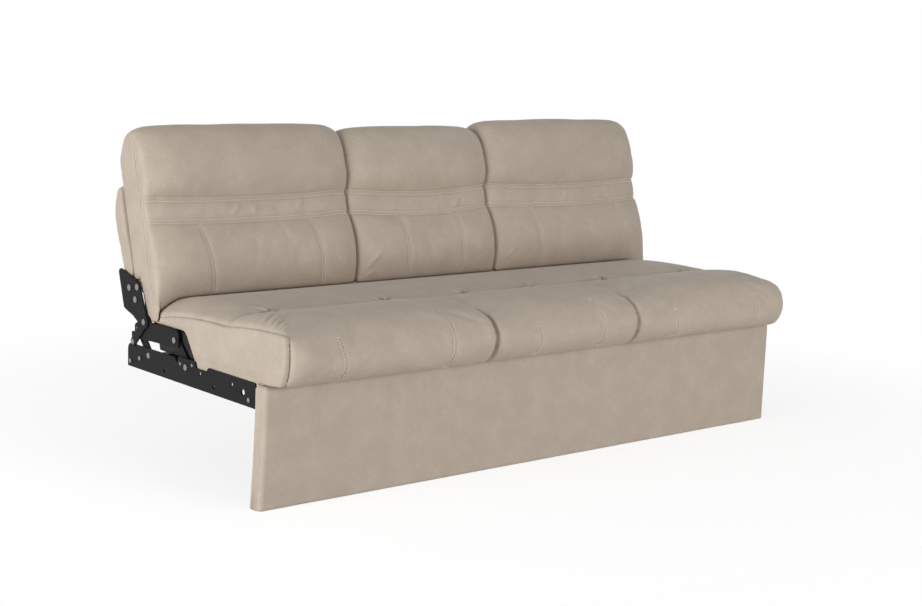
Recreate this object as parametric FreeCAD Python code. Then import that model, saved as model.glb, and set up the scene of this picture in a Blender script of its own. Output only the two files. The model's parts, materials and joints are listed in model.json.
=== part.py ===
import FreeCAD, Part
import math
import os

# Jackknife sofa bed: two rails, swinging links, a seat and a back that unfold into a bed.
# Millimetres. X runs along the sofa, Y from front to rear, Z up from the floor.
# Distances called "back" are measured rearward from the front face of the kickboard.

# Overall sizes
SOFA_LENGTH = 1727.0
CENTRE_SECTION = 490.0
SEAT_OVERHANG = 92.0

# Kickboard
KICK_HEIGHT = 283.0
KICK_THICKNESS = 46.0
KICK_PADDING = 14.0
KICK_BOARD = 18.0
KICK_ROUND = 11.0
ANGLE_WIDTH = 40.0
ANGLE_LEG = 50.0
ANGLE_PLATE = 3.0
SCREW_R = 2.2
SCREW_HEAD_R = 4.2
SCREW_HEAD = 2.4
SCREW_BITE = 12.0

# Base rails and the tubes between them
RAIL_GAP = 2.0
RAIL_LENGTH = 582.0
RAIL_HEIGHT = 59.0
RAIL_LIFT = 1.0
RAIL_FLANGE = 38.0
RAIL_HUMP = 5.0
RAIL_DIP = 10.0
HUMP_FRONT = 38.0
HUMP_REAR = 35.0
FRONT_SLOPE = 8.0
REAR_SLOPE = 5.0
FRONT_DIP = 46.0
REAR_DIP = 6.0
RAIL_NOSE_R = 10.0
RAIL_TAIL_R = 16.0
RAIL_EDGE_R = 3.0
PLATE = 4.0
TUBE = 25.0
TUBE_WALL = 2.0
FRONT_TUBE_BACK = 62.0
REAR_TUBE_SETBACK = 52.0
EAR_HEIGHT = 36.0
BOLT_R = 3.0
BOLT_HEAD_R = 5.5
BOLT_HEAD = 2.4
NUT = 4.0
PLATFORM_HOLE_R = 4.5
PLATFORM_HOLE_FRONT = 72.0
PLATFORM_HOLE_REAR = 150.0
SIDE_HOLE_R = 4.8
SIDE_HOLE_RISE = 17.0
SIDE_HOLE_AHEAD = 124.0
SIDE_HOLE_BEHIND = 100.0
SPARE_HOLE_RISE = 39.0
SPARE_HOLES_AHEAD = (202.0, 62.0)
CABLE_HOLE_FRONT = 53.0
CABLE_HOLE_R = 7.5

# Linkage: equal links keep the seat level, and the heel arm is as long as the links
LINK_LENGTH = 78.0
LINK_WIDTH = 26.0
LINK_LEAN = 43.0
BACK_RECLINE = 15.0
REAR_PIVOT_SETBACK = 100.0
LINK_SPACING = 180.0
FRONT_PIVOT_DROP = 16.0
REAR_PIVOT_DROP = 18.0
HINGE_BEHIND = 13.0
PIN_R = 5.0
PIN_HEAD_R = 7.5
PIN_HEAD = 2.6
HINGE_HEAD = 2.0
RUNNING_FIT = 0.05
PIN_PLAY = 0.2
GLIDE_R = 7.0
GLIDE_PIN_R = 4.0
ARM_WIDTH = 24.0
STOP_R = 4.0
STOP_REACH = 22.0
STOP_GAP = 0.3
BED_STOP = (42.0, 50.0)
LEDGE_PLATE = 14.0
LEDGE_NECK = 22.0
LEDGE_TIP = 9.0
SEAT_BRACKET_NOSE = 18.0
SEAT_BRACKET_DROP = 17.0
SEAT_BRACKET_WAIST = 70.0
HINGE_EAR = 15.0
HINGE_EAR_FRONT = 14.0
HINGE_EAR_REAR = 12.0
HINGE_EAR_FOOT = 10.0
BRACKET_BOLT_FRONT = 16.0
BRACKET_BOLT_REAR = 22.0
LAYER_GAP = 0.5
LINK_GAP = 1.0
FRAME_GAP = 1.2

# Seat
FRAME_RISE = 2.0
DECK = 9.0
CORE = 32.0
CORE_INSET = 26.0
SEAT_CHANNEL_BACK = 200.0
CHANNEL_RISE = 46.0
CROWN_RISE = 61.0
ROLL_RISE = 69.0
NOSE_DROP = 7.0
SKIRT_GAP = 3.0
KNUCKLE_R = 54.0
KNUCKLE_GAP = 1.0
SEAT_DRAW_TOP = 17.0
SEAT_DRAW_FRONT = 30.0
SEAM_GAP = 0.4
CUSHION_REACH = 95.0
DUST_SHEET = 1.2
DUST_FLAP = 0.8
DUST_DROP = 41.0
SEAT_TUBE_BACK = 12.0
SEAT_TUBE_SETBACK = 43.0
BORDER_FRONT = 56.0
BORDER_ROUND = 5.0

# Back, measured from the hinge: s up the back, n out of its front
BACK_BOTTOM = 51.0
BAND_LOW = 239.0
BAND_HIGH = 293.0
BACK_TOP = 488.0
LUMBAR_CROWN = 102.0
HEAD_CROWN = 107.0
BAND_FACE = 77.0
EDGE_FACE = 63.0
BACK_PLANE = 40.0
FRAME_DEPTH = 22.0
WEB = 2.0
WEB_WIDTH = 40.0
RAIL_LOW = 78.0
RAIL_SETBACK = 4.0
BACK_RAIL = 29.0
PAD_RISE = 7.0
PAD_HIGH = 352.0
PAD_WALL = 14.0
PAD_BULGE = 35.7
PAD_CREST = 0.74
PAD_REACH = 110.0
POST = 40.0
BACK_CORE_INSET = 34.0
BACK_CORE = 62.0
SPACER_R = 8.0
BACK_BOLT_R = 4.0
BACK_BOLT_BITE = 40.0
BACK_BOLT_HEAD = 1.8
BACK_BOLTS = ((11.0, 10.0), (50.0, 14.0))

BRACKET_HEEL = (17.0, 2.0)
BRACKET_SHOULDER = (24.0, 90.0)
BRACKET_HEAD = (131.0, 124.0)
BRACKET_WAIST = (100.0, 22.0)
BRACKET_THROAT = (54.0, 8.0)
BRACKET_FOOT = (6.0, 17.0)
BRACKET_BOSS_R = 17.0
BRACKET_ROUND = 10.0

# Positions that follow from the sizes
HALF = SOFA_LENGTH / 2.0
SECTION = CENTRE_SECTION / 2.0
OUTER_PLATE = HALF - HINGE_HEAD - PLATE
MID_PLATE = OUTER_PLATE - LAYER_GAP - PLATE
LINK_PLATE = MID_PLATE - LINK_GAP - PLATE
FRAME_SIDE = LINK_PLATE - PIN_PLAY - PIN_HEAD - FRAME_GAP
CUSHION_SIDE = OUTER_PLATE - LAYER_GAP - 2.0
PAD_SIDE = MID_PLATE - LAYER_GAP
RAIL_START = KICK_THICKNESS + RAIL_GAP
RAIL_END = RAIL_START + RAIL_LENGTH
REAR_PIVOT_BACK = RAIL_END - REAR_PIVOT_SETBACK
FRONT_PIVOT_BACK = REAR_PIVOT_BACK - LINK_SPACING
HINGE_BACK = REAR_PIVOT_BACK + HINGE_BEHIND
RAIL_TOP = KICK_HEIGHT + RAIL_LIFT
RAIL_FOOT = RAIL_TOP - RAIL_HEIGHT
RAIL_FLOOR = RAIL_FOOT + PLATE
BED_LEAN = 90.0 - BACK_RECLINE - LINK_LEAN
HEEL_TURN = math.radians(BACK_RECLINE + 2.0)
PAD_LOW = RAIL_LOW + BACK_RAIL + PAD_RISE
FRAME_REAR = BACK_PLANE + FRAME_DEPTH


def polar(length, lean):
    """Offset (back, up) of a bar that leans rearward from upright."""
    return (length * math.sin(math.radians(lean)), length * math.cos(math.radians(lean)))


def shift(point, move):
    return (point[0] + move[0], point[1] + move[1])


def turned(offset, degrees):
    """Side-view offset turned so that positive degrees tip the top forward."""
    angle = math.radians(degrees)
    back = offset[0] * math.cos(angle) - offset[1] * math.sin(angle)
    return (back, offset[0] * math.sin(angle) + offset[1] * math.cos(angle))


LINK_BAR = polar(LINK_LENGTH, LINK_LEAN)
FRONT_PIVOT = (FRONT_PIVOT_BACK, RAIL_TOP - FRONT_PIVOT_DROP)
REAR_PIVOT = (REAR_PIVOT_BACK, RAIL_TOP - REAR_PIVOT_DROP)
SEAT_PIN_FRONT = shift(FRONT_PIVOT, LINK_BAR)
SEAT_PIN_REAR = shift(REAR_PIVOT, LINK_BAR)
HEEL = (HINGE_BACK + LINK_BAR[0], RAIL_TOP + GLIDE_R + STOP_GAP)
HINGE = (HINGE_BACK, HEEL[1] + LINK_BAR[1])
FRAME_TOP = HINGE[1] + FRAME_RISE
SEAT_BASE = FRAME_TOP + DECK
SEAT_SKIRT = RAIL_TOP + SKIRT_GAP
SEAT_TUBE_REAR = HINGE_BACK - SEAT_TUBE_SETBACK


def leaned(n, s):
    """Side-view place of a point given in the back's own directions."""
    lean = math.radians(BACK_RECLINE)
    back = HINGE[0] + s * math.sin(lean) - n * math.cos(lean)
    return (back, HINGE[1] + s * math.cos(lean) + n * math.sin(lean))


BACK_REACH = leaned(-FRAME_REAR, PAD_CREST * PAD_HIGH)[0] + PAD_BULGE
FACE_Y = (SEAT_OVERHANG - BACK_REACH) / 2.0


def vec(x, point):
    return FreeCAD.Vector(x, point[0] + FACE_Y, point[1])


def box(x0, x1, back0, back1, z0, z1):
    corner = FreeCAD.Vector(x0, back0 + FACE_Y, z0)
    return Part.makeBox(x1 - x0, back1 - back0, z1 - z0, corner)


def rod(point, radius, x0, x1):
    """Round bar along X through a side-view point."""
    return Part.makeCylinder(radius, x1 - x0, vec(x0, point), FreeCAD.Vector(1, 0, 0))


def tube(x0, x1, back, z):
    """Square tube along X with its lower front edge at the given place."""
    low = TUBE_WALL
    high = TUBE - TUBE_WALL
    bore = box(x0, x1, back + low, back + high, z + low, z + high)
    return box(x0, x1, back, back + TUBE, z, z + TUBE).cut(bore)


def tube_across(x, back0, back1, z):
    """Square tube from front to rear, centred on x."""
    half = TUBE / 2.0
    bore_half = half - TUBE_WALL
    bore = box(x - bore_half, x + bore_half, back0, back1, z + TUBE_WALL, z + TUBE - TUBE_WALL)
    return box(x - half, x + half, back0, back1, z, z + TUBE).cut(bore)


def rounded_wire(x, corners):
    """Closed side-view outline; each corner is (back, z, radius)."""
    count = len(corners)
    ends = []
    for i in range(count):
        here = vec(x, corners[i])
        to_last = (vec(x, corners[i - 1]) - here).normalize()
        to_next = (vec(x, corners[(i + 1) % count]) - here).normalize()
        radius = corners[i][2]
        if radius == 0:
            ends.append((here, None, here))
            continue
        half = to_last.getAngle(to_next) / 2.0
        trim = radius / math.tan(half)
        inward = (to_last + to_next).normalize()
        middle = here + inward * (radius / math.sin(half) - radius)
        ends.append((here + to_last * trim, middle, here + to_next * trim))
    edges = []
    for i in range(count):
        start, middle, stop = ends[i]
        if middle is not None:
            edges.append(Part.Arc(start, middle, stop).toShape())
        following = ends[(i + 1) % count][0]
        if (following - stop).Length > 1e-4:
            edges.append(Part.makeLine(stop, following))
    return Part.Wire(edges)


def plate(x0, x1, corners):
    """Flat plate with a rounded side-view outline."""
    return Part.Face(rounded_wire(x0, corners)).extrude(FreeCAD.Vector(x1 - x0, 0, 0))


def bar(x0, x1, start, stop, width):
    """Flat link with round ends about two side-view points."""
    along = FreeCAD.Vector(0, stop[0] - start[0], stop[1] - start[1])
    across = FreeCAD.Vector(0, -along.z, along.y).normalize() * (width / 2.0)
    low = vec(x0, start)
    high = vec(x0, stop)
    wire = Part.makePolygon([low + across, high + across, high - across, low - across, low + across])
    middle = Part.Face(wire).extrude(FreeCAD.Vector(x1 - x0, 0, 0))
    ends = [rod(start, width / 2.0, x0, x1), rod(stop, width / 2.0, x0, x1)]
    return middle.fuse(ends).removeSplitter()


def join(shapes):
    return shapes[0].fuse(shapes[1:]).removeSplitter()


def mirrored(shape):
    return shape.mirror(FreeCAD.Vector(0, 0, 0), FreeCAD.Vector(1, 0, 0))


def both_sides(shapes):
    """Group of right-hand solids and their left-hand copies."""
    return Part.makeCompound(shapes + [mirrored(shape) for shape in shapes])


def save(name, shape):
    shape.exportStep("parts/" + name + ".step")


def save_pair(name, shape):
    """Right-hand piece as drawn, left-hand piece mirrored."""
    save(name + "_right", shape)
    save(name + "_left", mirrored(shape))


def outline_wire(x, pieces):
    """Side-view wire from (start, stop) lines and (start, middle, stop) arcs."""
    edges = []
    for piece in pieces:
        points = [vec(x, point) for point in piece]
        if len(points) == 2:
            edges.append(Part.makeLine(points[0], points[1]))
        else:
            edges.append(Part.Arc(points[0], points[1], points[2]).toShape())
    return Part.Wire(edges)


def upright_arc_middle(point, summit):
    """Middle of the arc from point to summit that stands upright at the summit."""
    run = point[0] - summit[0]
    rise = point[1] - summit[1]
    radius = (run * run + rise * rise) / (2.0 * run)
    turn = math.atan2(rise, abs(radius) - abs(run)) / 2.0
    return (summit[0] + radius - radius * math.cos(turn), summit[1] + abs(radius) * math.sin(turn))


def soft_loft(x0, x1, pieces_at, reach):
    """Upholstered form drawn in toward both ends; pieces_at takes 1 at an end and 0 half way."""
    steps = ((0.0, 1.0), (0.16, 0.6), (0.46, 0.22), (1.0, 0.05))
    stations = [(x0 + reach * t, draw) for t, draw in steps]
    span = x1 - x0 - 2.0 * reach
    count = max(1, round(span / (1.5 * reach)))
    for i in range(1, count + 1):
        share = i / (count + 1.0)
        stations.append((x0 + reach + span * share, 0.05 * (2.0 * share - 1.0) ** 2))
    stations += [(x1 - reach * t, draw) for t, draw in reversed(steps)]
    wires = [outline_wire(x, pieces_at(draw)) for x, draw in stations]
    return Part.makeLoft(wires, True, False)


def mix(inner, edge, draw):
    return inner + (edge - inner) * draw


def kickboard():
    cover = box(-HALF, HALF, 0, KICK_THICKNESS, 0, KICK_HEIGHT)
    soft_edges = []
    for edge in cover.Edges:
        bounds = edge.BoundBox
        at_front = bounds.YMax < FACE_Y + 1e-3
        at_top = bounds.ZMin > KICK_HEIGHT - 1e-3
        on_floor = bounds.ZMax < 1e-3
        if (at_front or (at_top and bounds.XLength > HALF)) and not on_floor:
            soft_edges.append(edge)
    cover = cover.makeFillet(KICK_ROUND, soft_edges)
    inset = HALF - KICK_PADDING
    high = KICK_HEIGHT - KICK_PADDING
    cover = cover.cut(box(-inset, inset, KICK_PADDING, KICK_THICKNESS, KICK_PADDING, high))
    save("kickboard_cover", cover)

    rear = KICK_PADDING + KICK_BOARD
    board = box(-inset, inset, KICK_PADDING, rear, KICK_PADDING, high)
    front_tube = tube(-MID_PLATE, MID_PLATE, FRONT_TUBE_BACK, RAIL_FLOOR)
    shelf_z = RAIL_FLOOR + TUBE
    rearward = FreeCAD.Vector(0, 1, 0)
    angles = []
    screws = []
    for share in (-0.75, -0.25, 0.25, 0.75):
        x = share * HALF
        x0 = x - ANGLE_WIDTH / 2.0
        x1 = x + ANGLE_WIDTH / 2.0
        leg = box(x0, x1, rear, rear + ANGLE_PLATE, shelf_z - ANGLE_LEG, shelf_z + ANGLE_PLATE)
        shelf_end = FRONT_TUBE_BACK + TUBE - TUBE_WALL
        shelf = box(x0, x1, rear, shelf_end, shelf_z, shelf_z + ANGLE_PLATE)
        angle = join([leg, shelf])
        own_screws = []
        for side, drop in ((-1, 0.3), (1, 0.76)):
            start = FreeCAD.Vector(x + side * ANGLE_WIDTH / 4.0, rear + FACE_Y, shelf_z - drop * ANGLE_LEG)
            point = start - rearward * SCREW_BITE
            shank = Part.makeCylinder(SCREW_R, SCREW_BITE + ANGLE_PLATE, point, rearward)
            head = Part.makeCylinder(SCREW_HEAD_R, SCREW_HEAD, start + rearward * ANGLE_PLATE, rearward)
            own_screws.append(join([shank, head]))
        down = FreeCAD.Vector(x, FRONT_TUBE_BACK + TUBE / 2.0 + FACE_Y, shelf_z - TUBE_WALL)
        grip = TUBE_WALL + ANGLE_PLATE
        shank = Part.makeCylinder(SCREW_R, grip, down)
        head = Part.makeCylinder(SCREW_HEAD_R, SCREW_HEAD, down + FreeCAD.Vector(0, 0, grip))
        own_screws.append(join([shank, head]))
        for screw in own_screws:
            angle = angle.cut(screw)
            board = board.cut(screw)
            front_tube = front_tube.cut(screw)
        angles.append(angle)
        screws += own_screws
    save("kickboard_panel", board)
    save("kickboard_brackets", Part.makeCompound(angles))
    save("kickboard_screws", Part.makeCompound(screws))
    save("base_front_tube", front_tube)


def pivot_pin(point, x0, x1, flush):
    """Pin with an inner head below x0 and an outer head that stands on x1 or is sunk flush."""
    inside = x0 - PIN_PLAY
    pin = rod(point, PIN_R, inside, x1)
    inner = rod(point, PIN_HEAD_R, inside - PIN_HEAD, inside)
    if flush:
        sink = PLATE / 2.0
        outer = Part.makeCone(PIN_R, PIN_R + sink, sink, vec(x1 - sink, point), FreeCAD.Vector(1, 0, 0))
    else:
        outer = rod(point, PIN_HEAD_R, x1, x1 + PIN_HEAD)
    return join([pin, inner, outer])


def stop_place(lean, side):
    """Centre of the pin that a front link leaning this far rests on."""
    along = shift(FRONT_PIVOT, polar(STOP_REACH, lean))
    return shift(along, polar(LINK_WIDTH / 2.0 + STOP_R + STOP_GAP, lean + 90.0 * side))


def rail_blank():
    """Rail web with its humped and dipped top edge, and its foot flange."""
    x1 = MID_PLATE + PLATE
    hump = RAIL_TOP + RAIL_HUMP
    dip = RAIL_TOP - RAIL_DIP
    edge = RAIL_EDGE_R
    front = FRONT_PIVOT_BACK - HUMP_FRONT
    rear = FRONT_PIVOT_BACK + HUMP_REAR
    front_low = front - FRONT_SLOPE - FRONT_DIP
    rear_low = rear + REAR_SLOPE + REAR_DIP
    outline = [(RAIL_START, RAIL_FOOT, edge), (RAIL_END, RAIL_FOOT, edge), (RAIL_END, RAIL_TOP, RAIL_TAIL_R)]
    outline += [(rear_low + REAR_SLOPE, RAIL_TOP, edge), (rear_low, dip, edge)]
    outline += [(rear + REAR_SLOPE, dip, edge), (rear, hump, edge), (front, hump, edge)]
    outline += [(front - FRONT_SLOPE, dip, edge), (front_low, dip, edge)]
    outline += [(front_low - FRONT_SLOPE, RAIL_TOP, edge), (RAIL_START, RAIL_TOP, RAIL_NOSE_R)]
    web = plate(MID_PLATE, x1, outline)
    foot = box(x1 - RAIL_FLANGE, x1, RAIL_START + PLATE, RAIL_END - PLATE, RAIL_FOOT, RAIL_FLOOR)
    return join([web, foot])


def base_rails():
    x0 = MID_PLATE
    x1 = MID_PLATE + PLATE
    rail = rail_blank()
    hole_x = x1 - (RAIL_FLANGE + PLATE) / 2.0
    for back in (RAIL_START + PLATFORM_HOLE_FRONT, RAIL_END - PLATFORM_HOLE_REAR):
        place = FreeCAD.Vector(hole_x, back + FACE_Y, RAIL_FOOT)
        rail = rail.cut(Part.makeCylinder(PLATFORM_HOLE_R, PLATE, place))
    for back in (FRONT_PIVOT_BACK - SIDE_HOLE_AHEAD, FRONT_PIVOT_BACK + SIDE_HOLE_BEHIND):
        rail = rail.cut(rod((back, RAIL_FOOT + SIDE_HOLE_RISE), SIDE_HOLE_R, x0, x1))
    for ahead in SPARE_HOLES_AHEAD:
        rail = rail.cut(rod((FRONT_PIVOT_BACK - ahead, RAIL_FOOT + SPARE_HOLE_RISE), SIDE_HOLE_R, x0, x1))
    cable = (RAIL_START + CABLE_HOLE_FRONT, RAIL_FOOT + RAIL_HEIGHT / 2.0)
    rail = rail.cut(rod(cable, CABLE_HOLE_R, x0, x1))

    front_pin = pivot_pin(FRONT_PIVOT, LINK_PLATE, x1, False)
    rear_pin = pivot_pin(REAR_PIVOT, LINK_PLATE, x1, True)
    stops = [rod(stop_place(LINK_LEAN, 1), STOP_R, LINK_PLATE, x1)]
    stops.append(rod(stop_place(-BED_LEAN, -1), STOP_R, LINK_PLATE, x1))

    ear_x = x0 - PLATE
    ear_front = RAIL_END - REAR_TUBE_SETBACK - 3.0 * BOLT_HEAD_R
    ear_rear = RAIL_END - 6.0
    ear_top = RAIL_FLOOR + EAR_HEIGHT
    ear_corners = [(ear_front, RAIL_FLOOR, 3), (ear_rear, RAIL_FLOOR, 3), (ear_rear, ear_top - 14, 6)]
    ear_corners += [(ear_front + 40, ear_top, 6), (ear_front, ear_top, 6)]
    ear = plate(ear_x, x0, ear_corners)
    bolts = []
    edge = 1.5 * BOLT_HEAD_R
    for point in ((ear_front + edge, ear_top - 12), (ear_rear - edge, RAIL_FLOOR + 10)):
        shank = rod(point, BOLT_R, ear_x, x1)
        head = rod(point, BOLT_HEAD_R, x1, x1 + BOLT_HEAD)
        nut = rod(point, BOLT_HEAD_R, ear_x - NUT, ear_x)
        bolts.append(join([shank, head, nut]))
    rear_tube = tube(-ear_x, ear_x, RAIL_END - REAR_TUBE_SETBACK, RAIL_FLOOR)

    centre = (FRONT_TUBE_BACK + TUBE / 2.0, RAIL_FLOOR + TUBE / 2.0)
    bore = TUBE / 2.0 - TUBE_WALL
    plug_x = x0 - TUBE / 2.0
    shank = rod(centre, BOLT_R, plug_x, x1)
    plug_bolt = join([shank, rod(centre, BOLT_HEAD_R, x1, x1 + BOLT_HEAD)])
    plug = box(plug_x, x0, centre[0] - bore, centre[0] + bore, centre[1] - bore, centre[1] + bore)
    bolts.append(plug_bolt)

    for cutter in [front_pin, rear_pin] + stops + bolts:
        rail = rail.cut(cutter)
        ear = ear.cut(cutter)
    save_pair("base_rail", rail)
    save("front_pivot_pins", both_sides([front_pin]))
    save("rear_pivot_pins", both_sides([rear_pin]))
    save("link_stop_pins", both_sides(stops))
    save("base_bolts", both_sides(bolts))
    save("base_rear_ears", both_sides([ear]))
    save("base_rear_tube", rear_tube)
    save("base_tube_plugs", both_sides([plug.cut(plug_bolt)]))


def links():
    x0 = LINK_PLATE
    x1 = LINK_PLATE + PLATE
    ends = {"front_link": (FRONT_PIVOT, SEAT_PIN_FRONT), "rear_link": (REAR_PIVOT, SEAT_PIN_REAR)}
    for name, (low, high) in ends.items():
        link = bar(x0, x1, low, high, LINK_WIDTH)
        for point in (low, high):
            link = link.cut(rod(point, PIN_R + RUNNING_FIT, x0, x1))
        save_pair(name, link)


def seat_brackets():
    """Plates that carry the seat on the links; returns the bolts that hold them to the frame."""
    x0 = MID_PLATE
    x1 = MID_PLATE + PLATE
    front = SEAT_PIN_FRONT
    rear = SEAT_PIN_REAR
    ledge = shift(HINGE, turned(BED_STOP, BACK_RECLINE - 90.0))
    shelf = ledge[1] - PIN_R - STOP_GAP
    sole = shelf - LEDGE_PLATE
    tip = ledge[0] + LEDGE_TIP
    rim = LINK_WIDTH / 2.0
    nose = front[0] - SEAT_BRACKET_NOSE
    drop = front[1] - SEAT_BRACKET_DROP
    ear_top = HINGE[1] + HINGE_EAR
    ear_front = HINGE[0] - HINGE_EAR_FRONT
    ear_rear = HINGE[0] + HINGE_EAR_REAR
    outline = [(nose, drop, 12), (rear[0] - SEAT_BRACKET_WAIST, drop - PLATE, 8)]
    outline += [(rear[0] - LEDGE_NECK, sole, 8), (tip, sole, 4), (tip, shelf, 3)]
    outline += [(rear[0] + rim, shelf, 0), (rear[0] + rim, rear[1] + rim, 10)]
    outline += [(ear_rear + HINGE_EAR_FOOT, FRAME_TOP, 6), (ear_rear, ear_top, 8)]
    outline += [(ear_front, ear_top, 8), (ear_front - HINGE_EAR_FOOT, FRAME_TOP, 6), (nose, FRAME_TOP, 14)]
    flange_front = front[0] + FRAME_RISE
    flange_rear = SEAT_TUBE_REAR - FRAME_RISE
    inner_edge = FRAME_SIDE - TUBE + TUBE_WALL
    flange = box(inner_edge, x1, flange_front, flange_rear, FRAME_TOP - PLATE, FRAME_TOP)
    body = join([plate(x0, x1, outline), flange])
    front_pin = pivot_pin(front, LINK_PLATE, x1, False)
    rear_pin = pivot_pin(rear, LINK_PLATE, x1, True)
    bolts = []
    for back in (front[0] + BRACKET_BOLT_FRONT, SEAT_TUBE_REAR - BRACKET_BOLT_REAR):
        foot = FreeCAD.Vector(FRAME_SIDE - TUBE / 2.0, back + FACE_Y, FRAME_TOP - PLATE - TUBE)
        up = FreeCAD.Vector(0, 0, 1)
        shank = Part.makeCylinder(BOLT_R, TUBE + PLATE, foot)
        head = Part.makeCylinder(BOLT_HEAD_R, BOLT_HEAD, foot + up * (TUBE + PLATE))
        nut = Part.makeCylinder(BOLT_HEAD_R, NUT, foot - up * NUT)
        bolts.append(join([shank, head, nut]))
    body = body.cut(rod(HINGE, PIN_R + RUNNING_FIT, x0, x1))
    for cutter in [front_pin, rear_pin] + bolts:
        body = body.cut(cutter)
    save_pair("seat_bracket", body)
    save("front_link_pins", both_sides([front_pin]))
    save("rear_link_pins", both_sides([rear_pin]))
    save("seat_bolts", both_sides(bolts))
    return bolts


def dust_flap():
    """Cloth flap that hangs on the right-hand side tube, behind the links."""
    low = FRAME_TOP - TUBE - DUST_DROP
    high = FRAME_TOP - PLATE
    return box(FRAME_SIDE, FRAME_SIDE + DUST_FLAP, RAIL_START, SEAT_TUBE_REAR, low, high)


def seat_frame(bolts):
    low = FRAME_TOP - TUBE
    rear = SEAT_TUBE_REAR
    inside = SEAT_TUBE_BACK + TUBE
    save("seat_front_tube", tube(-FRAME_SIDE, FRAME_SIDE, SEAT_TUBE_BACK, low))
    save("seat_rear_tube", tube(-FRAME_SIDE, FRAME_SIDE, rear, low))
    side = tube_across(FRAME_SIDE - TUBE / 2.0, inside, rear, low - PLATE)
    deck = box(-FRAME_SIDE, FRAME_SIDE, SEAT_TUBE_BACK, rear + TUBE, FRAME_TOP, SEAT_BASE)
    for bolt in bolts:
        side = side.cut(bolt)
        bounds = bolt.BoundBox
        recess = FreeCAD.Vector(bounds.Center.x, bounds.Center.y, FRAME_TOP)
        well = Part.makeCylinder(BOLT_HEAD_R, BOLT_HEAD, recess)
        deck = deck.cut(well).cut(mirrored(well))
    save("seat_side_tubes", both_sides([side]))
    save("seat_deck", deck)
    slats = [tube_across(share * FRAME_SIDE, inside, rear, low) for share in (-0.5, 0.0, 0.5)]
    save("seat_slats", Part.makeCompound(slats))
    inset = FRAME_SIDE - TUBE
    sheet = box(-inset, inset, SEAT_TUBE_BACK + 2, rear + TUBE - 2, low - DUST_SHEET, low)
    flap = dust_flap()
    save("seat_dust_cover", Part.makeCompound([sheet, flap, mirrored(flap)]))


def seat_pieces(draw):
    """Side-view outline of a seat section: knuckle, rear panel, sewn channel, front roll, skirt."""
    drop = SEAT_DRAW_TOP * draw
    pull = SEAT_DRAW_FRONT * draw
    knuckle = KNUCKLE_R - 8.0 * draw
    knuckle_top = shift(HINGE, polar(knuckle, -2.0))
    knuckle_middle = shift(HINGE, polar(knuckle, 27.0))
    knuckle_end = shift(HINGE, polar(knuckle, 56.0))
    rear_low = (HINGE_BACK + 26, SEAT_BASE)
    channel = (SEAT_CHANNEL_BACK, SEAT_BASE + CHANNEL_RISE - 0.75 * drop)
    crown = ((SEAT_CHANNEL_BACK + HINGE_BACK) / 2.0, SEAT_BASE + CROWN_RISE - drop)
    roll_top = (0.43 * SEAT_CHANNEL_BACK, SEAT_BASE + ROLL_RISE - drop)
    roll_front = (-26 + 0.8 * pull, SEAT_BASE + ROLL_RISE - 12 - 1.15 * drop)
    nose = (pull - SEAT_OVERHANG, SEAT_BASE - NOSE_DROP)
    skirt = (0.6 * pull - SEAT_OVERHANG / 2.0, SEAT_SKIRT)
    tuck = (SEAT_TUBE_BACK - 1, SEAT_SKIRT)
    ledge = (SEAT_TUBE_BACK - 1, SEAT_BASE)
    return [(rear_low, knuckle_end), (knuckle_end, knuckle_middle, knuckle_top),
            (knuckle_top, crown, channel), (channel, roll_top, roll_front),
            (roll_front, upright_arc_middle(roll_front, nose), nose),
            (nose, upright_arc_middle(skirt, nose), skirt),
            (skirt, tuck), (tuck, ledge), (ledge, rear_low)]


def seat_cushions():
    side = FRAME_SIDE
    sections = {"left": (-side, -SECTION), "centre": (-SECTION, SECTION), "right": (SECTION, side)}
    for name, (x0, x1) in sections.items():
        pad = soft_loft(x0 + SEAM_GAP, x1 - SEAM_GAP, seat_pieces, CUSHION_REACH)
        core = box(x0 + CORE_INSET, x1 - CORE_INSET, SEAT_TUBE_BACK + CORE_INSET, SEAT_TUBE_REAR + TUBE,
                   SEAT_BASE, SEAT_BASE + CORE)
        save("seat_pad_" + name, pad.cut(core))
        save("seat_foam_" + name, core)
    under = FRAME_TOP + 3.0
    rear = SEAT_TUBE_REAR + 5.0
    corners = [(-BORDER_FRONT, SEAT_SKIRT, 14), (FRONT_PIVOT_BACK - 54, SEAT_SKIRT, 8)]
    corners += [(FRONT_PIVOT_BACK + 16, under, 14), (rear, under, 8), (rear, SEAT_BASE + 24, 10)]
    corners += [(-BORDER_FRONT, SEAT_BASE + 38, 22)]
    border = plate(FRAME_SIDE, CUSHION_SIDE, corners)
    rim = [edge for edge in border.Edges if edge.BoundBox.XMin > CUSHION_SIDE - 1e-3]
    save_pair("seat_border", border.makeFillet(BORDER_ROUND, rim).cut(dust_flap()))


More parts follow.
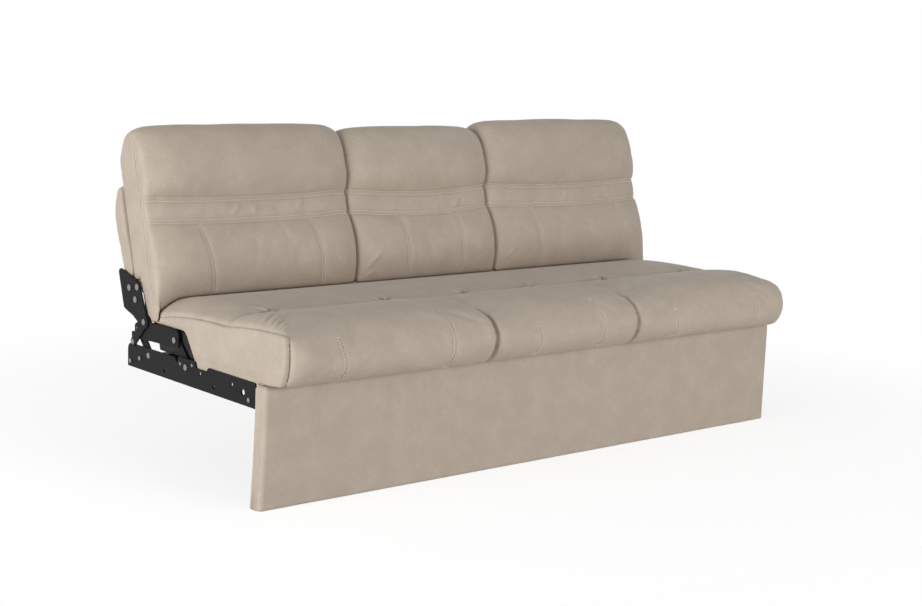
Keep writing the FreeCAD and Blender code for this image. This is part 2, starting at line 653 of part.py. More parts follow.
def back_pieces(draw):
    """Side-view outline of a back cushion: lumbar, sewn band, head roll, rear and rail notch."""
    face = mix(BAND_FACE, EDGE_FACE, draw)
    rail_top = RAIL_LOW + BACK_RAIL
    heel = KNUCKLE_R + KNUCKLE_GAP
    heel_front = (heel * math.sin(HEEL_TURN), heel * math.cos(HEEL_TURN))
    heel_middle = (heel * math.sin(HEEL_TURN / 2.0), heel * math.cos(HEEL_TURN / 2.0))
    low_front = (mix(57, 53, draw), BACK_BOTTOM + 3 * draw)
    lumbar = (mix(LUMBAR_CROWN, EDGE_FACE + 10, draw), (BACK_BOTTOM + BAND_LOW) / 2.0 + 4)
    head = (mix(HEAD_CROWN, EDGE_FACE + 18, draw), (BAND_HIGH + BACK_TOP) / 2.0 - 8)
    top_front = (mix(84, 70, draw), BACK_TOP - 29 - 7 * draw)
    top = (mix(34, 28, draw), BACK_TOP - 14 * draw)
    top_rear = (mix(-22, -18, draw), BACK_TOP - 26 - 9 * draw)
    rear_high = (-BACK_PLANE, BACK_TOP - 62)
    rear_low = (-BACK_PLANE, rail_top)
    notch = -RAIL_SETBACK + 1.0
    rows = [(low_front, lumbar, (face, BAND_LOW)), ((face, BAND_LOW), (face + 1, BAND_HIGH)),
            ((face + 1, BAND_HIGH), head, top_front), (top_front, top, top_rear), (top_rear, rear_high),
            (rear_high, rear_low), (rear_low, (notch, rail_top)), ((notch, rail_top), (0, heel)),
            ((0, heel), heel_middle, heel_front), (heel_front, low_front)]
    return [tuple(leaned(n, s) for n, s in row) for row in rows]


def back_box(x0, x1, n0, n1, s0, s1):
    """Block square to the reclined back."""
    corners = [leaned(n0, s0), leaned(n1, s0), leaned(n1, s1), leaned(n0, s1)]
    return plate(x0, x1, [(corner[0], corner[1], 0) for corner in corners])


def back_cushions():
    side = CUSHION_SIDE
    sections = {"left": (-side, -SECTION), "centre": (-SECTION, SECTION), "right": (SECTION, side)}
    foot = RAIL_LOW + BACK_RAIL + 12.0
    for name, (x0, x1) in sections.items():
        cushion = soft_loft(x0 + SEAM_GAP, x1 - SEAM_GAP, back_pieces, CUSHION_REACH)
        core = back_box(x0 + BACK_CORE_INSET, x1 - BACK_CORE_INSET, -BACK_PLANE, BACK_CORE - BACK_PLANE,
                        foot, PAD_HIGH - PAD_WALL)
        save("back_cushion_" + name, cushion.cut(core))
        save("back_foam_" + name, core)


def pad_pieces(draw):
    """Side-view outline of the padded panel behind the back frame."""
    low = PAD_LOW + 4 * draw
    high = PAD_HIGH - 6 * draw
    foot = leaned(-FRAME_REAR - 8, low)
    head = leaned(-FRAME_REAR + 4, high)
    summit = (BACK_REACH - 10 * draw, leaned(-FRAME_REAR, PAD_CREST * high)[1])
    front_low = leaned(-BACK_PLANE, low)
    front_high = leaned(-BACK_PLANE, high)
    return [(front_low, foot), (foot, upright_arc_middle(foot, summit), summit),
            (summit, upright_arc_middle(head, summit), head), (head, front_high), (front_high, front_low)]


def back_frame():
    """Timber frame, webbing and rear padding; returns the bolts that hold the brackets."""
    side = FRAME_SIDE
    x1 = OUTER_PLATE + PLATE
    spacers = []
    bolts = []
    for depth, rise in BACK_BOLTS:
        point = leaned(-depth, RAIL_LOW + rise)
        shank = rod(point, BACK_BOLT_R, side - BACK_BOLT_BITE, x1)
        bolts.append(join([shank, rod(point, SPACER_R, x1, x1 + BACK_BOLT_HEAD)]))
        spacers.append(rod(point, SPACER_R, side, OUTER_PLATE).cut(shank))
    save("back_spacers", both_sides(spacers))
    save("back_bolts", both_sides(bolts))
    rail = back_box(-side, side, -FRAME_REAR, -RAIL_SETBACK, RAIL_LOW, RAIL_LOW + BACK_RAIL)
    for bolt in bolts:
        rail = rail.cut(bolt).cut(mirrored(bolt))
    save("back_bottom_rail", rail)
    rail_top = RAIL_LOW + BACK_RAIL
    head_top = PAD_HIGH - PAD_WALL
    head_low = head_top - BACK_RAIL
    front = -BACK_PLANE - WEB
    save("back_top_rail", back_box(-side, side, -FRAME_REAR, front, head_low, head_top))
    posts = []
    for x in (POST / 2.0 - side, -SECTION, SECTION, side - POST / 2.0):
        posts.append(back_box(x - POST / 2.0, x + POST / 2.0, -FRAME_REAR, front, rail_top, head_low))
    save("back_posts", Part.makeCompound(posts))
    pitch = (head_low - rail_top) / 3.0
    straps = []
    for i in range(3):
        low = rail_top + pitch * i + (pitch - WEB_WIDTH) / 2.0
        straps.append(back_box(-side, side, front, -BACK_PLANE, low, low + WEB_WIDTH))
    save("back_webbing", Part.makeCompound(straps))
    pad = soft_loft(-PAD_SIDE, PAD_SIDE, pad_pieces, PAD_REACH)
    hollow = back_box(-side, side, -FRAME_REAR, -BACK_PLANE, 0, head_top)
    save("back_rear_pad", pad.cut(hollow))
    return bolts


def back_brackets(bolts):
    x0 = OUTER_PLATE
    x1 = OUTER_PLATE + PLATE
    back, up = HINGE
    corners = [(-BRACKET_HEEL[0], -BRACKET_HEEL[1]), BRACKET_SHOULDER, BRACKET_HEAD, BRACKET_WAIST]
    corners += [BRACKET_THROAT, (BRACKET_FOOT[0], -BRACKET_FOOT[1])]
    main = plate(x0, x1, [(back + run, up + rise, BRACKET_ROUND) for run, rise in corners])
    arm = bar(x0, x1, HINGE, HEEL, ARM_WIDTH)
    boss = rod(HINGE, BRACKET_BOSS_R, x0, x1)
    body = join([main, arm, boss])
    inside = MID_PLATE - PIN_PLAY
    hinge_pin = join([rod(HINGE, PIN_R, inside, x1), rod(HINGE, PIN_HEAD_R, inside - PIN_HEAD, inside),
                      rod(HINGE, PIN_HEAD_R, x1, x1 + HINGE_HEAD)])
    heel_pin = join([rod(HEEL, GLIDE_PIN_R, MID_PLATE, x1), rod(HEEL, GLIDE_R, x1, x1 + HINGE_HEAD)])
    glide = rod(HEEL, GLIDE_R, MID_PLATE, x0).cut(heel_pin)
    stop_at = shift(HINGE, BED_STOP)
    stop_pin = join([rod(stop_at, PIN_R, MID_PLATE, x1), rod(stop_at, SPACER_R, x1, x1 + BACK_BOLT_HEAD)])
    for cutter in [hinge_pin, heel_pin, stop_pin] + bolts:
        body = body.cut(cutter)
    save_pair("back_bracket", body)
    save("hinge_pins", both_sides([hinge_pin]))
    save("heel_pins", both_sides([heel_pin]))
    save("heel_glides", both_sides([glide]))
    save("bed_stop_pins", both_sides([stop_pin]))


def build():
    os.makedirs("parts", exist_ok=True)
    kickboard()
    base_rails()
    links()
    seat_frame(seat_brackets())
    seat_cushions()
    back_brackets(back_frame())
    back_cushions()


build()
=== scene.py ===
# %% [markdown]
# # A jackknife sofa, dressed
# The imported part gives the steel, the timber and plain solids for the soft pieces. This lesson
# keeps the hard pieces and gives them finishes, and makes the upholstery again the way an
# upholsterer would: a cut form, stuffed until it swells, then seams, puckers and thread.

# %% Load the frame
import json
import math
import bpy
import numpy as np
from mathutils import Matrix, Vector
from mathutils.bvhtree import BVHTree


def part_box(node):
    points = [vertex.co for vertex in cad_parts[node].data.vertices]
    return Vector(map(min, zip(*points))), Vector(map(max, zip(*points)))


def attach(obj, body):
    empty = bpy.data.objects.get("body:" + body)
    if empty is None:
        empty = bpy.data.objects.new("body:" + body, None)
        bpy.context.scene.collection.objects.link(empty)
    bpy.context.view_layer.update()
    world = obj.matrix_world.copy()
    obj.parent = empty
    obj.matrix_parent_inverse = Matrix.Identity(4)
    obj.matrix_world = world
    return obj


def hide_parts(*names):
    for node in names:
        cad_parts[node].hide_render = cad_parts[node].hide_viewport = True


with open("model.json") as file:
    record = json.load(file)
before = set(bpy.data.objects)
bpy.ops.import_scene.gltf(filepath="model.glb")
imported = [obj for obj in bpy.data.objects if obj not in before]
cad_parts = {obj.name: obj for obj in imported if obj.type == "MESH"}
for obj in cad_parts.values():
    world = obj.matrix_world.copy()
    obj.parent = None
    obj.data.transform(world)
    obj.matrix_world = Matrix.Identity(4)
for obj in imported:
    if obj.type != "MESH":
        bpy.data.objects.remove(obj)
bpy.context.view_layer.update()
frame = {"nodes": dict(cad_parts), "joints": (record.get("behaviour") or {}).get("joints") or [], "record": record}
nodes = frame["nodes"]

# %% [markdown]
# ## Places that everything hangs on
# The hinge between seat and back is the sofa's natural datum. Across the back it is easier to
# think in the back's own directions: s climbs the reclined back and n comes out of its front.
# All sizes are metres, and the widths are read from the solids, so the skins follow the part.

# %% Datum and directions
joint_at = {joint["name"]: Vector(joint["pos_m"]) for joint in frame["joints"]}
HINGE = joint_at["back_fold"]
RECLINE = math.radians(15.0)
LEAN_SIN, LEAN_COS = math.sin(RECLINE), math.cos(RECLINE)
FACE_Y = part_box("kickboard_cover")[0].y
SECTION_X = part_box("seat_pad_centre")[1].x
SEAT_END_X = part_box("seat_pad_right")[1].x
BACK_END_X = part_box("back_cushion_right")[1].x
SIDE_END_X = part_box("seat_border_right")[1].x


def from_back(x, n, s):
    """World place of a point given in the back's own directions."""
    return Vector((x, HINGE.y + s * LEAN_SIN - n * LEAN_COS, HINGE.z + s * LEAN_COS + n * LEAN_SIN))


def to_back(points):
    """Arrays n and s for an array of world points."""
    dy, dz = points[:, 1] - HINGE.y, points[:, 2] - HINGE.z
    return dz * LEAN_SIN - dy * LEAN_COS, dy * LEAN_SIN + dz * LEAN_COS


print("hinge at", [round(value, 4) for value in HINGE], "section seam at", round(SECTION_X, 4))

# %% [markdown]
# ## Drawing a cushion's side view
# A pattern cutter draws a cushion as a chain of arcs from seam to seam. Curve objects could draw
# the same chain, but plain points can change a little from place to place along the sofa. Each
# arc goes through three points, and every piece of the chain leaves out its last point, so that
# the next piece can begin there.

# %% Lines and arcs
def mix(inner, edge, draw):
    """Goes from inner to edge while draw goes from 0 to 1."""
    return inner + (edge - inner) * draw


def line(start, stop, count=12):
    shares = [i / count for i in range(count)]
    return [(mix(start[0], stop[0], t), mix(start[1], stop[1], t)) for t in shares]


def arc(start, middle, stop, count=24):
    """Points on the circle through three places, without the last one."""
    (ax, ay), (bx, by), (cx, cy) = start, middle, stop
    d = 2 * (ax * (by - cy) + bx * (cy - ay) + cx * (ay - by))
    a2, b2, c2 = ax * ax + ay * ay, bx * bx + by * by, cx * cx + cy * cy
    ux = (a2 * (by - cy) + b2 * (cy - ay) + c2 * (ay - by)) / d
    uy = (a2 * (cx - bx) + b2 * (ax - cx) + c2 * (bx - ax)) / d
    radius = math.hypot(ax - ux, ay - uy)
    first = math.atan2(ay - uy, ax - ux)
    via = (math.atan2(by - uy, bx - ux) - first) % math.tau
    turn = (math.atan2(cy - uy, cx - ux) - first) % math.tau
    if via > turn:
        turn -= math.tau
    steps = [first + turn * i / count for i in range(count)]
    return [(ux + radius * math.cos(angle), uy + radius * math.sin(angle)) for angle in steps]


print("a half circle is drawn with", len(arc((1, 0), (0, 1), (-1, 0))), "points")

# %% [markdown]
# The chain is then walked in even steps, so that every loop along the sofa has as many points and
# the loops can be joined one to one. Drawing a loop in along its own normals rounds a rim.

# %% Even loops
def even_loop(points, count=150):
    """The same closed loop as an array with evenly spaced points."""
    loop = np.array(points + points[:1])
    reach = np.concatenate([[0.0], np.cumsum(np.linalg.norm(np.diff(loop, axis=0), axis=1))])
    steps = np.linspace(0.0, reach[-1], count, endpoint=False)
    return np.stack([np.interp(steps, reach, loop[:, axis]) for axis in (0, 1)], axis=1)


def inset_loop(loop, depth):
    """A loop drawn in along its own normals, for a rounded rim."""
    along = np.roll(loop, -1, axis=0) - np.roll(loop, 1, axis=0)
    inward = np.stack([-along[:, 1], along[:, 0]], axis=1)
    inward /= np.linalg.norm(inward, axis=1)[:, None]
    x, y = loop[:, 0], loop[:, 1]
    area = np.sum(x * np.roll(y, -1) - np.roll(x, -1) * y)
    return loop + inward * depth * np.sign(area)


print("walked evenly it has", len(even_loop(arc((1, 0), (0, 1), (-1, 0)))), "points")

# %% [markdown]
# ## From loops to a skin
# The loops are skinned like a lampshade: each point is joined to its neighbours on the loop and
# on the next loop, and the two end loops are closed with a flat face. Extruding a curve would
# give one side view all along, while here every loop may differ.

# %% Skin over loops
def mesh_object(name, points, faces):
    mesh = bpy.data.meshes.new(name)
    mesh.from_pydata([tuple(point) for point in points], [], [tuple(face) for face in faces])
    mesh.update()
    piece = bpy.data.objects.new(name, mesh)
    bpy.context.scene.collection.objects.link(piece)
    return piece


def skin(name, loops):
    """Closed skin over a row of 3-D loops that have as many points each."""
    count = len(loops[0])
    points = np.concatenate(loops)
    faces = []
    for row in range(len(loops) - 1):
        a, b = row * count, (row + 1) * count
        faces += [(a + i, a + (i + 1) % count, b + (i + 1) % count, b + i) for i in range(count)]
    faces.append(tuple(reversed(range(count))))
    faces.append(tuple(range((len(loops) - 1) * count, len(loops) * count)))
    return mesh_object(name, points, faces)


print("packed solids to dress:", sum(len(piece.data.polygons) for piece in nodes.values()), "faces")

# %% [markdown]
# Modifiers do much of the work that follows. Their result is kept as the piece's own mesh, so that
# the next step can read and move its points. Edit mode would move them one by one, while numpy
# reads all of them as one array.

# %% Keeping and reading a mesh
def bake_modifiers(piece):
    """Keeps what the modifiers made and takes them off."""
    bpy.context.view_layer.update()
    shown = piece.evaluated_get(bpy.context.evaluated_depsgraph_get())
    made = bpy.data.meshes.new_from_object(shown)
    piece.modifiers.clear()
    old, piece.data = piece.data, made
    bpy.data.meshes.remove(old)
    made.name = piece.name


def vertex_array(piece, what):
    flat = np.empty(len(piece.data.vertices) * 3, np.float32)
    piece.data.vertices.foreach_get(what, flat)
    return flat.reshape(-1, 3).astype(float)


def coords(piece):
    return vertex_array(piece, "co")


def normals(piece):
    return vertex_array(piece, "normal")


def set_coords(piece, points):
    piece.data.vertices.foreach_set("co", np.ascontiguousarray(points, np.float32).ravel())
    piece.data.update()


print("kickboard solid, for comparison:", len(coords(nodes["kickboard_cover"])), "points")

# %% [markdown]
# Cloth needs a mesh of even small squares, which a voxel remesh gives from any closed skin. Its
# steps are smoothed away afterwards. Once the form is right, a subdivision makes room for seams.

# %% Even squares and smoothing
def relaxed(piece, times):
    relax = piece.modifiers.new("relax", "SMOOTH")
    relax.factor = 0.5
    relax.iterations = times
    bake_modifiers(piece)


def remeshed(piece, voxel, smooth=4):
    remesh = piece.modifiers.new("even", "REMESH")
    remesh.mode = "VOXEL"
    remesh.voxel_size = voxel
    bake_modifiers(piece)
    relaxed(piece, smooth)


def finer(piece):
    divide = piece.modifiers.new("finer", "SUBSURF")
    divide.levels = divide.render_levels = 1
    bake_modifiers(piece)


def smooth_shaded(piece):
    piece.data.polygons.foreach_set("use_smooth", np.ones(len(piece.data.polygons), bool))
    piece.data.update()


def told(piece):
    """Smooth shading for a finished piece, and a word about it."""
    smooth_shaded(piece)
    print(piece.name, len(piece.data.polygons), "faces")
    return piece


print("made: relaxed, remeshed, finer and told")

# %% [markdown]
# ## Stuffing
# A cover is blown up a little as cloth, with its seams pinned while it swells, so the fullness
# and the soft wrinkles come from the cloth itself. Sculpting could draw them, but not as evenly.
# Gravity is left out and the air pressure inside does the work, as stuffing does.

# %% Blowing up a cover
def blow_up(piece, pressure, spare, frames):
    """Runs the cloth, which holds the vertex group called sewn."""
    cloth = piece.modifiers.new("cloth", "CLOTH")
    cover = cloth.settings
    cover.quality = 4
    cover.mass = 0.25
    cover.tension_stiffness = cover.compression_stiffness = 12.0
    cover.shear_stiffness = 6.0
    cover.bending_stiffness = 0.8
    cover.use_pressure = True
    cover.uniform_pressure_force = pressure
    cover.shrink_min = -spare
    cover.vertex_group_mass = "sewn"
    cover.effector_weights.gravity = 0.0
    cloth.collision_settings.use_collision = False
    scene = bpy.context.scene
    scene.frame_start, scene.frame_end = 1, frames
    cloth.point_cache.frame_start, cloth.point_cache.frame_end = 1, frames
    for number in range(1, frames + 1):
        scene.frame_set(number)
    bake_modifiers(piece)
    scene.frame_set(1)


print("made: blow_up, which runs the cloth")

# %% [markdown]
# Where a cover is pulled tight it doesn't wrinkle. There the swelling is averaged between
# neighbours, which irons the wrinkles out and keeps the fullness.

# %% Stuffing and ironing
IRONING = 60


def evened(piece, field, times):
    """A value or vector of each vertex, averaged with its neighbours several times."""
    ends = np.empty(len(piece.data.edges) * 2, np.int32)
    piece.data.edges.foreach_get("vertices", ends)
    here, there = ends.reshape(-1, 2).T
    size = len(field)
    share = np.bincount(ends, minlength=size)[:, None]
    for _ in range(times):
        total = [np.bincount(here, field[there, axis], size) + np.bincount(there, field[here, axis], size)
                 for axis in range(field.shape[1])]
        field = 0.5 * field + 0.5 * np.stack(total, axis=1) / share
    return field


def stuffed(piece, pins, taut=0.0, pressure=4.0, spare=0.0028, cap=0.024, frames=16):
    """Cover blown up from inside; pins is 1 where it is sewn down, taut is 1 where it may not wrinkle."""
    rest = coords(piece)
    group = piece.vertex_groups.new(name="sewn")
    for level in np.unique(np.round(pins, 1)):
        if level > 0:
            group.add(np.flatnonzero(np.round(pins, 1) == level).tolist(), float(level), "REPLACE")
    blow_up(piece, pressure, spare, frames)
    piece.vertex_groups.clear()
    moved = coords(piece) - rest
    length = np.linalg.norm(moved, axis=1)
    moved *= np.minimum(1.0, cap / np.maximum(length, 1e-9))[:, None]
    mean, most = 1000 * np.mean(length), 1000 * length.max()
    print(f"  {piece.name}: cover swelled {mean:.1f} mm, most {most:.1f} mm")
    moved = mix(moved, evened(piece, moved, IRONING), np.broadcast_to(taut, len(moved))[:, None])
    set_coords(piece, rest + moved)
    relaxed(piece, 4)


print("stuffing is", "on")

# %% [markdown]
# ## Seams
# A seam is a line on the finished skin. It is found by shining rays at the cushion from outside,
# as one would mark it with chalk. Projecting a curve with a modifier would do the same, but the
# marked points are also needed to measure how far the cover is from the seam.

# %% Chalk lines
def tree_of(piece):
    faces = [tuple(face.vertices) for face in piece.data.polygons]
    return BVHTree.FromPolygons([tuple(point) for point in coords(piece)], faces)


def chalk(tree, starts, toward):
    """Where rays from the start points toward a direction, or a function of the point, meet the skin."""
    found = []
    for start in starts:
        aim = toward(start) if callable(toward) else toward
        place = tree.ray_cast(Vector(start), Vector(aim).normalized())[0]
        if place is not None:
            found.append(np.array(place))
    return np.array(found)


def even_line(points, step):
    reach = np.concatenate([[0.0], np.cumsum(np.linalg.norm(np.diff(points, axis=0), axis=1))])
    steps = np.linspace(0.0, reach[-1], max(2, int(round(reach[-1] / step)) + 1))
    return np.stack([np.interp(steps, reach, points[:, axis]) for axis in range(3)], axis=1), steps


print("made: tree_of, chalk and even_line")

# %% [markdown]
# To sink the cover beside a seam, each of its points needs its distance from the seam and how far
# along the seam that is. Points that are far away are passed over, which keeps the sums short.

# %% Distance from a seam
MARK_STEP, MARK_MARGIN, CHUNK = 0.003, 0.08, 4000


def near_line(points, seam):
    """Distance from each point to a seam, and how far along the seam that is."""
    marks, steps = even_line(seam, MARK_STEP)
    away = np.full(len(points), 1.0)
    along = np.zeros(len(points))
    low, high = marks.min(0) - MARK_MARGIN, marks.max(0) + MARK_MARGIN
    close = np.flatnonzero(np.all((points > low) & (points < high), axis=1))
    for chunk in np.array_split(close, max(1, len(close) // CHUNK + 1)):
        if len(chunk):
            gap = np.linalg.norm(points[chunk, None, :] - marks[None, :, :], axis=2)
            best = gap.argmin(1)
            away[chunk] = gap[np.arange(len(chunk)), best]
            along[chunk] = steps[best]
    return away, along


def length_of(seam):
    return float(np.sum(np.linalg.norm(np.diff(seam, axis=0), axis=1)))


print("chalk marks every", 1000 * MARK_STEP, "mm")

# %% [markdown]
# The cover sinks along a seam and gathers into small puckers beside it, because two lengths of
# cover are never sewn together perfectly evenly. The puckers' spacing and strength are drawn at
# random from a fixed seed, so that they are irregular and yet the same in each run.

# %% Sunk seams
def sewn(piece, seam, depth=0.003, width=0.008, pucker=0.0008, pitch=0.017, reach=0.03, seed=1, fade=0.0):
    """Sinks the skin along a seam and gathers it into puckers beside it."""
    points = coords(piece)
    away, along = near_line(points, seam)
    total = length_of(seam)
    rng = np.random.default_rng(seed)
    knots = np.arange(0.0, total + pitch, pitch)
    phase = np.interp(along, knots, np.cumsum(rng.uniform(0.5, 1.5, len(knots))))
    strength = np.interp(along, knots, rng.uniform(0.2, 1.0, len(knots)))
    ends = np.ones(len(points))
    if fade > 0:
        ends = np.clip(np.minimum(along, total - along) / fade, 0.0, 1.0)
    groove = depth * np.exp(-((away / width) ** 2)) * ends
    beside = np.exp(-((away / reach) ** 2)) * (1.0 - 0.7 * np.exp(-((away / (0.6 * width)) ** 2)))
    ridges = pucker * strength * np.cos(math.pi * phase) * beside * ends
    set_coords(piece, points + normals(piece) * (ridges - groove)[:, None])


print("made: sewn, which sinks and puckers a seam")

# %% [markdown]
# A tuft is a point that is pulled down, with folds that run out from it. A single fold is a soft
# ridge along a line. Both only move the points of the skin, as a sculptor's brush would.

# %% Tufts and folds
TROUGH = 0.4


def tuft(piece, place, depth, width, folds=7, ridge=0.0015, seed=1):
    """Pulls a point down and lets folds run out from it."""
    points = coords(piece)
    offset = points - np.array(place)
    away = np.linalg.norm(offset, axis=1)
    angle = np.arctan2(offset[:, 1] + 0.6 * offset[:, 2], offset[:, 0])
    rng = np.random.default_rng(seed)
    wave = np.cos(folds * angle + rng.uniform(0.0, 6.0))
    wave += 0.5 * np.cos((folds + 3) * angle + rng.uniform(0.0, 6.0))
    ring = (away / width) * np.exp(1.0 - (away / width) ** 1.5)
    push = ridge * wave * ring * (away < 3 * width) - depth * np.exp(-((away / width) ** 2))
    set_coords(piece, points + normals(piece) * push[:, None])


def fold(piece, seam, height, width):
    """Raises one soft fold along a line, with a faint trough on both sides."""
    points = coords(piece)
    away, along = near_line(points, seam)
    ends = np.sin(math.pi * np.clip(along / length_of(seam), 0.0, 1.0))
    share = (away / width) ** 2
    rise = height * (1.0 - TROUGH * share) * np.exp(-share) * ends
    set_coords(piece, points + normals(piece) * rise[:, None])


print("made: tuft and fold")

# %% [markdown]
# ## Thread
# Top stitching shows as two rows of short light stitches. Each stitch here is a tiny capsule that
# lies on the cover and dips at its ends, so it still reads as thread from a hand's breadth away.
# A curve with a bevel would give one long cord, and a picture of stitches would stay flat.

# %% One stitch
STITCH, STITCH_GAP, THREAD_R = 0.0046, 0.0010, 0.0010
SIDES = 6
RINGS = ((-0.5, 0.45, -0.25), (-0.3, 1.0, 0.45), (0.3, 1.0, 0.45), (0.5, 0.45, -0.25))


def capsule(points, faces, row):
    """Adds a stitch; its rings hold the place along it, the thickness and the lift off the cover."""
    place, along, up, side = row
    base = len(points)
    for reach, swell, lift in RINGS:
        ring = place + along * (STITCH * reach) + up * (THREAD_R * lift)
        for k in range(SIDES):
            angle = math.tau * k / SIDES
            points.append(ring + (side * math.cos(angle) + up * math.sin(angle)) * (THREAD_R * swell))
    for a in (base, base + SIDES, base + 2 * SIDES):
        for k in range(SIDES):
            after = (k + 1) % SIDES
            faces.append((a + k, a + after, a + SIDES + after, a + SIDES + k))
    faces.append(tuple(base + k for k in reversed(range(SIDES))))
    faces.append(tuple(base + 3 * SIDES + k for k in range(SIDES)))


print("a stitch is", 1000 * STITCH, "mm long")

# %% [markdown]
# The rows run beside the seam on both sides. Under each row lies a narrow strip that is a little
# darker than the cover: painted shade for the shadow in the groove where tight thread beds itself
# in. Plain cracks, where two panels meet without top stitching, get the painted shade strip alone.

# %% Rows of stitches
# Sizes of the painted shade strip, a dark ribbon laid under each row where the groove is in shadow.
SHADE_HALF_WIDTH, SHADE_STEP = 0.0021, 0.004
SHADE_CROWN, SHADE_EDGE_DROP = 0.0004, 0.0002
ROW_OFFSETS = (-0.0036, 0.0036)


def row_frames(tree, seam, offset, step):
    """Places along one row of stitches with the row's direction and the skin's normal."""
    marks = even_line(seam, step)[0]
    rows = []
    for i in range(len(marks) - 1):
        along = Vector(marks[i + 1] - marks[i])
        if along.length < 1e-6:
            continue
        along.normalize()
        middle = Vector((marks[i] + marks[i + 1]) / 2.0)
        side = along.cross(tree.find_nearest(middle)[1]).normalized()
        place, up = tree.find_nearest(middle + side * offset)[:2]
        rows.append((place, along, up, along.cross(up).normalized()))
    return rows


def lay_seam_shade(points, faces, strip):
    """Adds a strip of painted shade along a row."""
    base = len(points)
    for place, along, up, side in strip:
        low = place - up * SHADE_EDGE_DROP
        # The strip is raised a little in the middle; its darker finish is painted shade.
        points.extend((low - side * SHADE_HALF_WIDTH, place + up * SHADE_CROWN, low + side * SHADE_HALF_WIDTH))
    for i in range(len(strip) - 1):
        a = base + 3 * i
        faces.extend(((a, a + 1, a + 4, a + 3), (a + 1, a + 2, a + 5, a + 4)))


def stitched(name, tree, seams, cracks=()):
    """Two pieces: the stitches of some seams, and the painted shade strips along those seams and plain cracks."""
    thread, shade_parts = ([], []), ([], [])
    for seam in seams:
        for offset in ROW_OFFSETS:
            for row in row_frames(tree, seam, offset, STITCH + STITCH_GAP):
                capsule(*thread, row)
            lay_seam_shade(*shade_parts, row_frames(tree, seam, offset, SHADE_STEP))
    for crack in cracks:
        lay_seam_shade(*shade_parts, row_frames(tree, crack, 0.0, SHADE_STEP))
    made = mesh_object(name + "_thread", *thread), mesh_object(name + "_painted_shade", *shade_parts)
    for piece in made:
        smooth_shaded(piece)
    print(f"  {name}: {len(thread[1]) // (3 * SIDES + 2)} stitches")
    return made


print("rows lie", 1000 * ROW_OFFSETS[1], "mm from the seam")

# %% [markdown]
# ## The back cushions
# Each back cushion is a lumbar panel, a narrow band and a head roll, sewn to a boxed side. Toward
# its ends the cover is drawn in to the side seam, and the sofa's outer corners sink. Two easing
# curves say how quickly: one with a long soft tail, and one like a quarter circle.

# %% How an end eases off
DRAW_REACH, CORNER_REACH, END_REACH = 0.115, 0.050, 0.085


def easing(d, reach):
    """1 at an end and 0 from reach on, with a long soft tail."""
    return max(0.0, 1.0 - d / reach) ** 2.4


def rounding(d, reach):
    """1 at an end and 0 from reach on, like a quarter circle."""
    return 1.0 - math.sqrt(1.0 - max(0.0, 1.0 - d / reach) ** 2)


def end_sink(x):
    """1 at the sofa's ends, where seat and back both sink round the corner, and 0 from END_REACH on."""
    return max(0.0, 1.0 - max(0.0, BACK_END_X - abs(x)) / END_REACH) ** 1.7


print("drawn in, 20 mm from an end:", round(easing(0.02, DRAW_REACH), 3))

# %% [markdown]
# The side view is drawn in the back's own directions. The head roll hangs a little over the band.
# The heel is an arc about the hinge, so the cushion can roll over the seat's rear edge when the
# back folds down.

# %% Side view of a back cushion
BAND_LOW, BAND_HIGH = 0.239, 0.293
EDGE_N, EDGE_SWELL = 0.063, 0.010
BAND_N, LUMBAR_N, HEAD_N = 0.071, 0.098, 0.101
REAR_N, FRAME_FOOT_S, HEEL_R = -0.040, 0.107, 0.0555
CROWN_DROP, CORNER_DROP, HEEL_DROP, TIP_DROP = 0.012, 0.019, 0.044, 0.040


def back_loop(draw, crown, sink, sag):
    """Loop at one place; draw is 1 at a drawn-in end, crown lifts the top, sink lowers the heel."""
    face = mix(BAND_N, EDGE_N, draw)
    low, high = BAND_LOW - sag, BAND_HIGH - sag
    heel, turn = HEEL_R - HEEL_DROP * sink, RECLINE + math.radians(2.0)
    low_front = (mix(0.058, 0.052, draw), 0.047 - TIP_DROP * sink)
    lumbar = (mix(LUMBAR_N, EDGE_N + EDGE_SWELL, draw), 0.148)
    head_n = mix(HEAD_N, EDGE_N + EDGE_SWELL, draw)
    head = (head_n, high + 0.075)
    head_low = (mix(face, head_n, 0.62), high + 0.018)
    top_front = (mix(0.084, 0.062, draw), 0.459 + 0.9 * crown)
    head_high = (mix(head_n, top_front[0], 0.32), mix(head[1], top_front[1], 0.62))
    top = (mix(0.034, 0.026, draw), 0.487 + crown)
    top_rear = (mix(-0.022, -0.018, draw), 0.461 + crown)
    rear_high, rear_low = (REAR_N, 0.425 + 0.7 * crown), (REAR_N, FRAME_FOOT_S)
    foot = (-0.003, FRAME_FOOT_S)
    heel_front = (heel * math.sin(turn), heel * math.cos(turn))
    heel_mid = (heel * math.sin(turn / 2), heel * math.cos(turn / 2))
    points = arc(low_front, lumbar, (face, low)) + line((face, low), (face, high))
    points += arc((face, high), head_low, head) + arc(head, head_high, top_front)
    points += arc(top_front, top, top_rear) + line(top_rear, rear_high)
    points += line(rear_high, rear_low, 40) + line(rear_low, foot)
    points += line(foot, (0.0, heel)) + arc((0.0, heel), heel_mid, heel_front, 6)
    return even_loop(points + line(heel_front, low_front))


print("side view:", len(back_loop(0.0, 0.0, 0.0, 0.0)), "points")

# %% [markdown]
# Loops are needed close together where the form changes quickly, at the ends and at tight creases,
# and can be far apart elsewhere. At the very ends the loops are also drawn in, which rounds the rim.

# %% Stations along the sofa
RIM_TURNS = (0, 25, 45, 65, 90)
NEAR_SHARES = (0.05, 0.1, 0.17, 0.25, 0.35, 0.48, 0.62, 0.8, 1.0)
TIGHT_STEPS = (0.0, 0.002, 0.005, 0.009, 0.014, 0.02, 0.028, 0.036)


def rim_inset(d, rim):
    """How far a loop is drawn in at distance d from the end, for a rim of that radius."""
    return rim - math.sqrt(max(0.0, rim * rim - (rim - d) ** 2)) if d < rim else 0.0


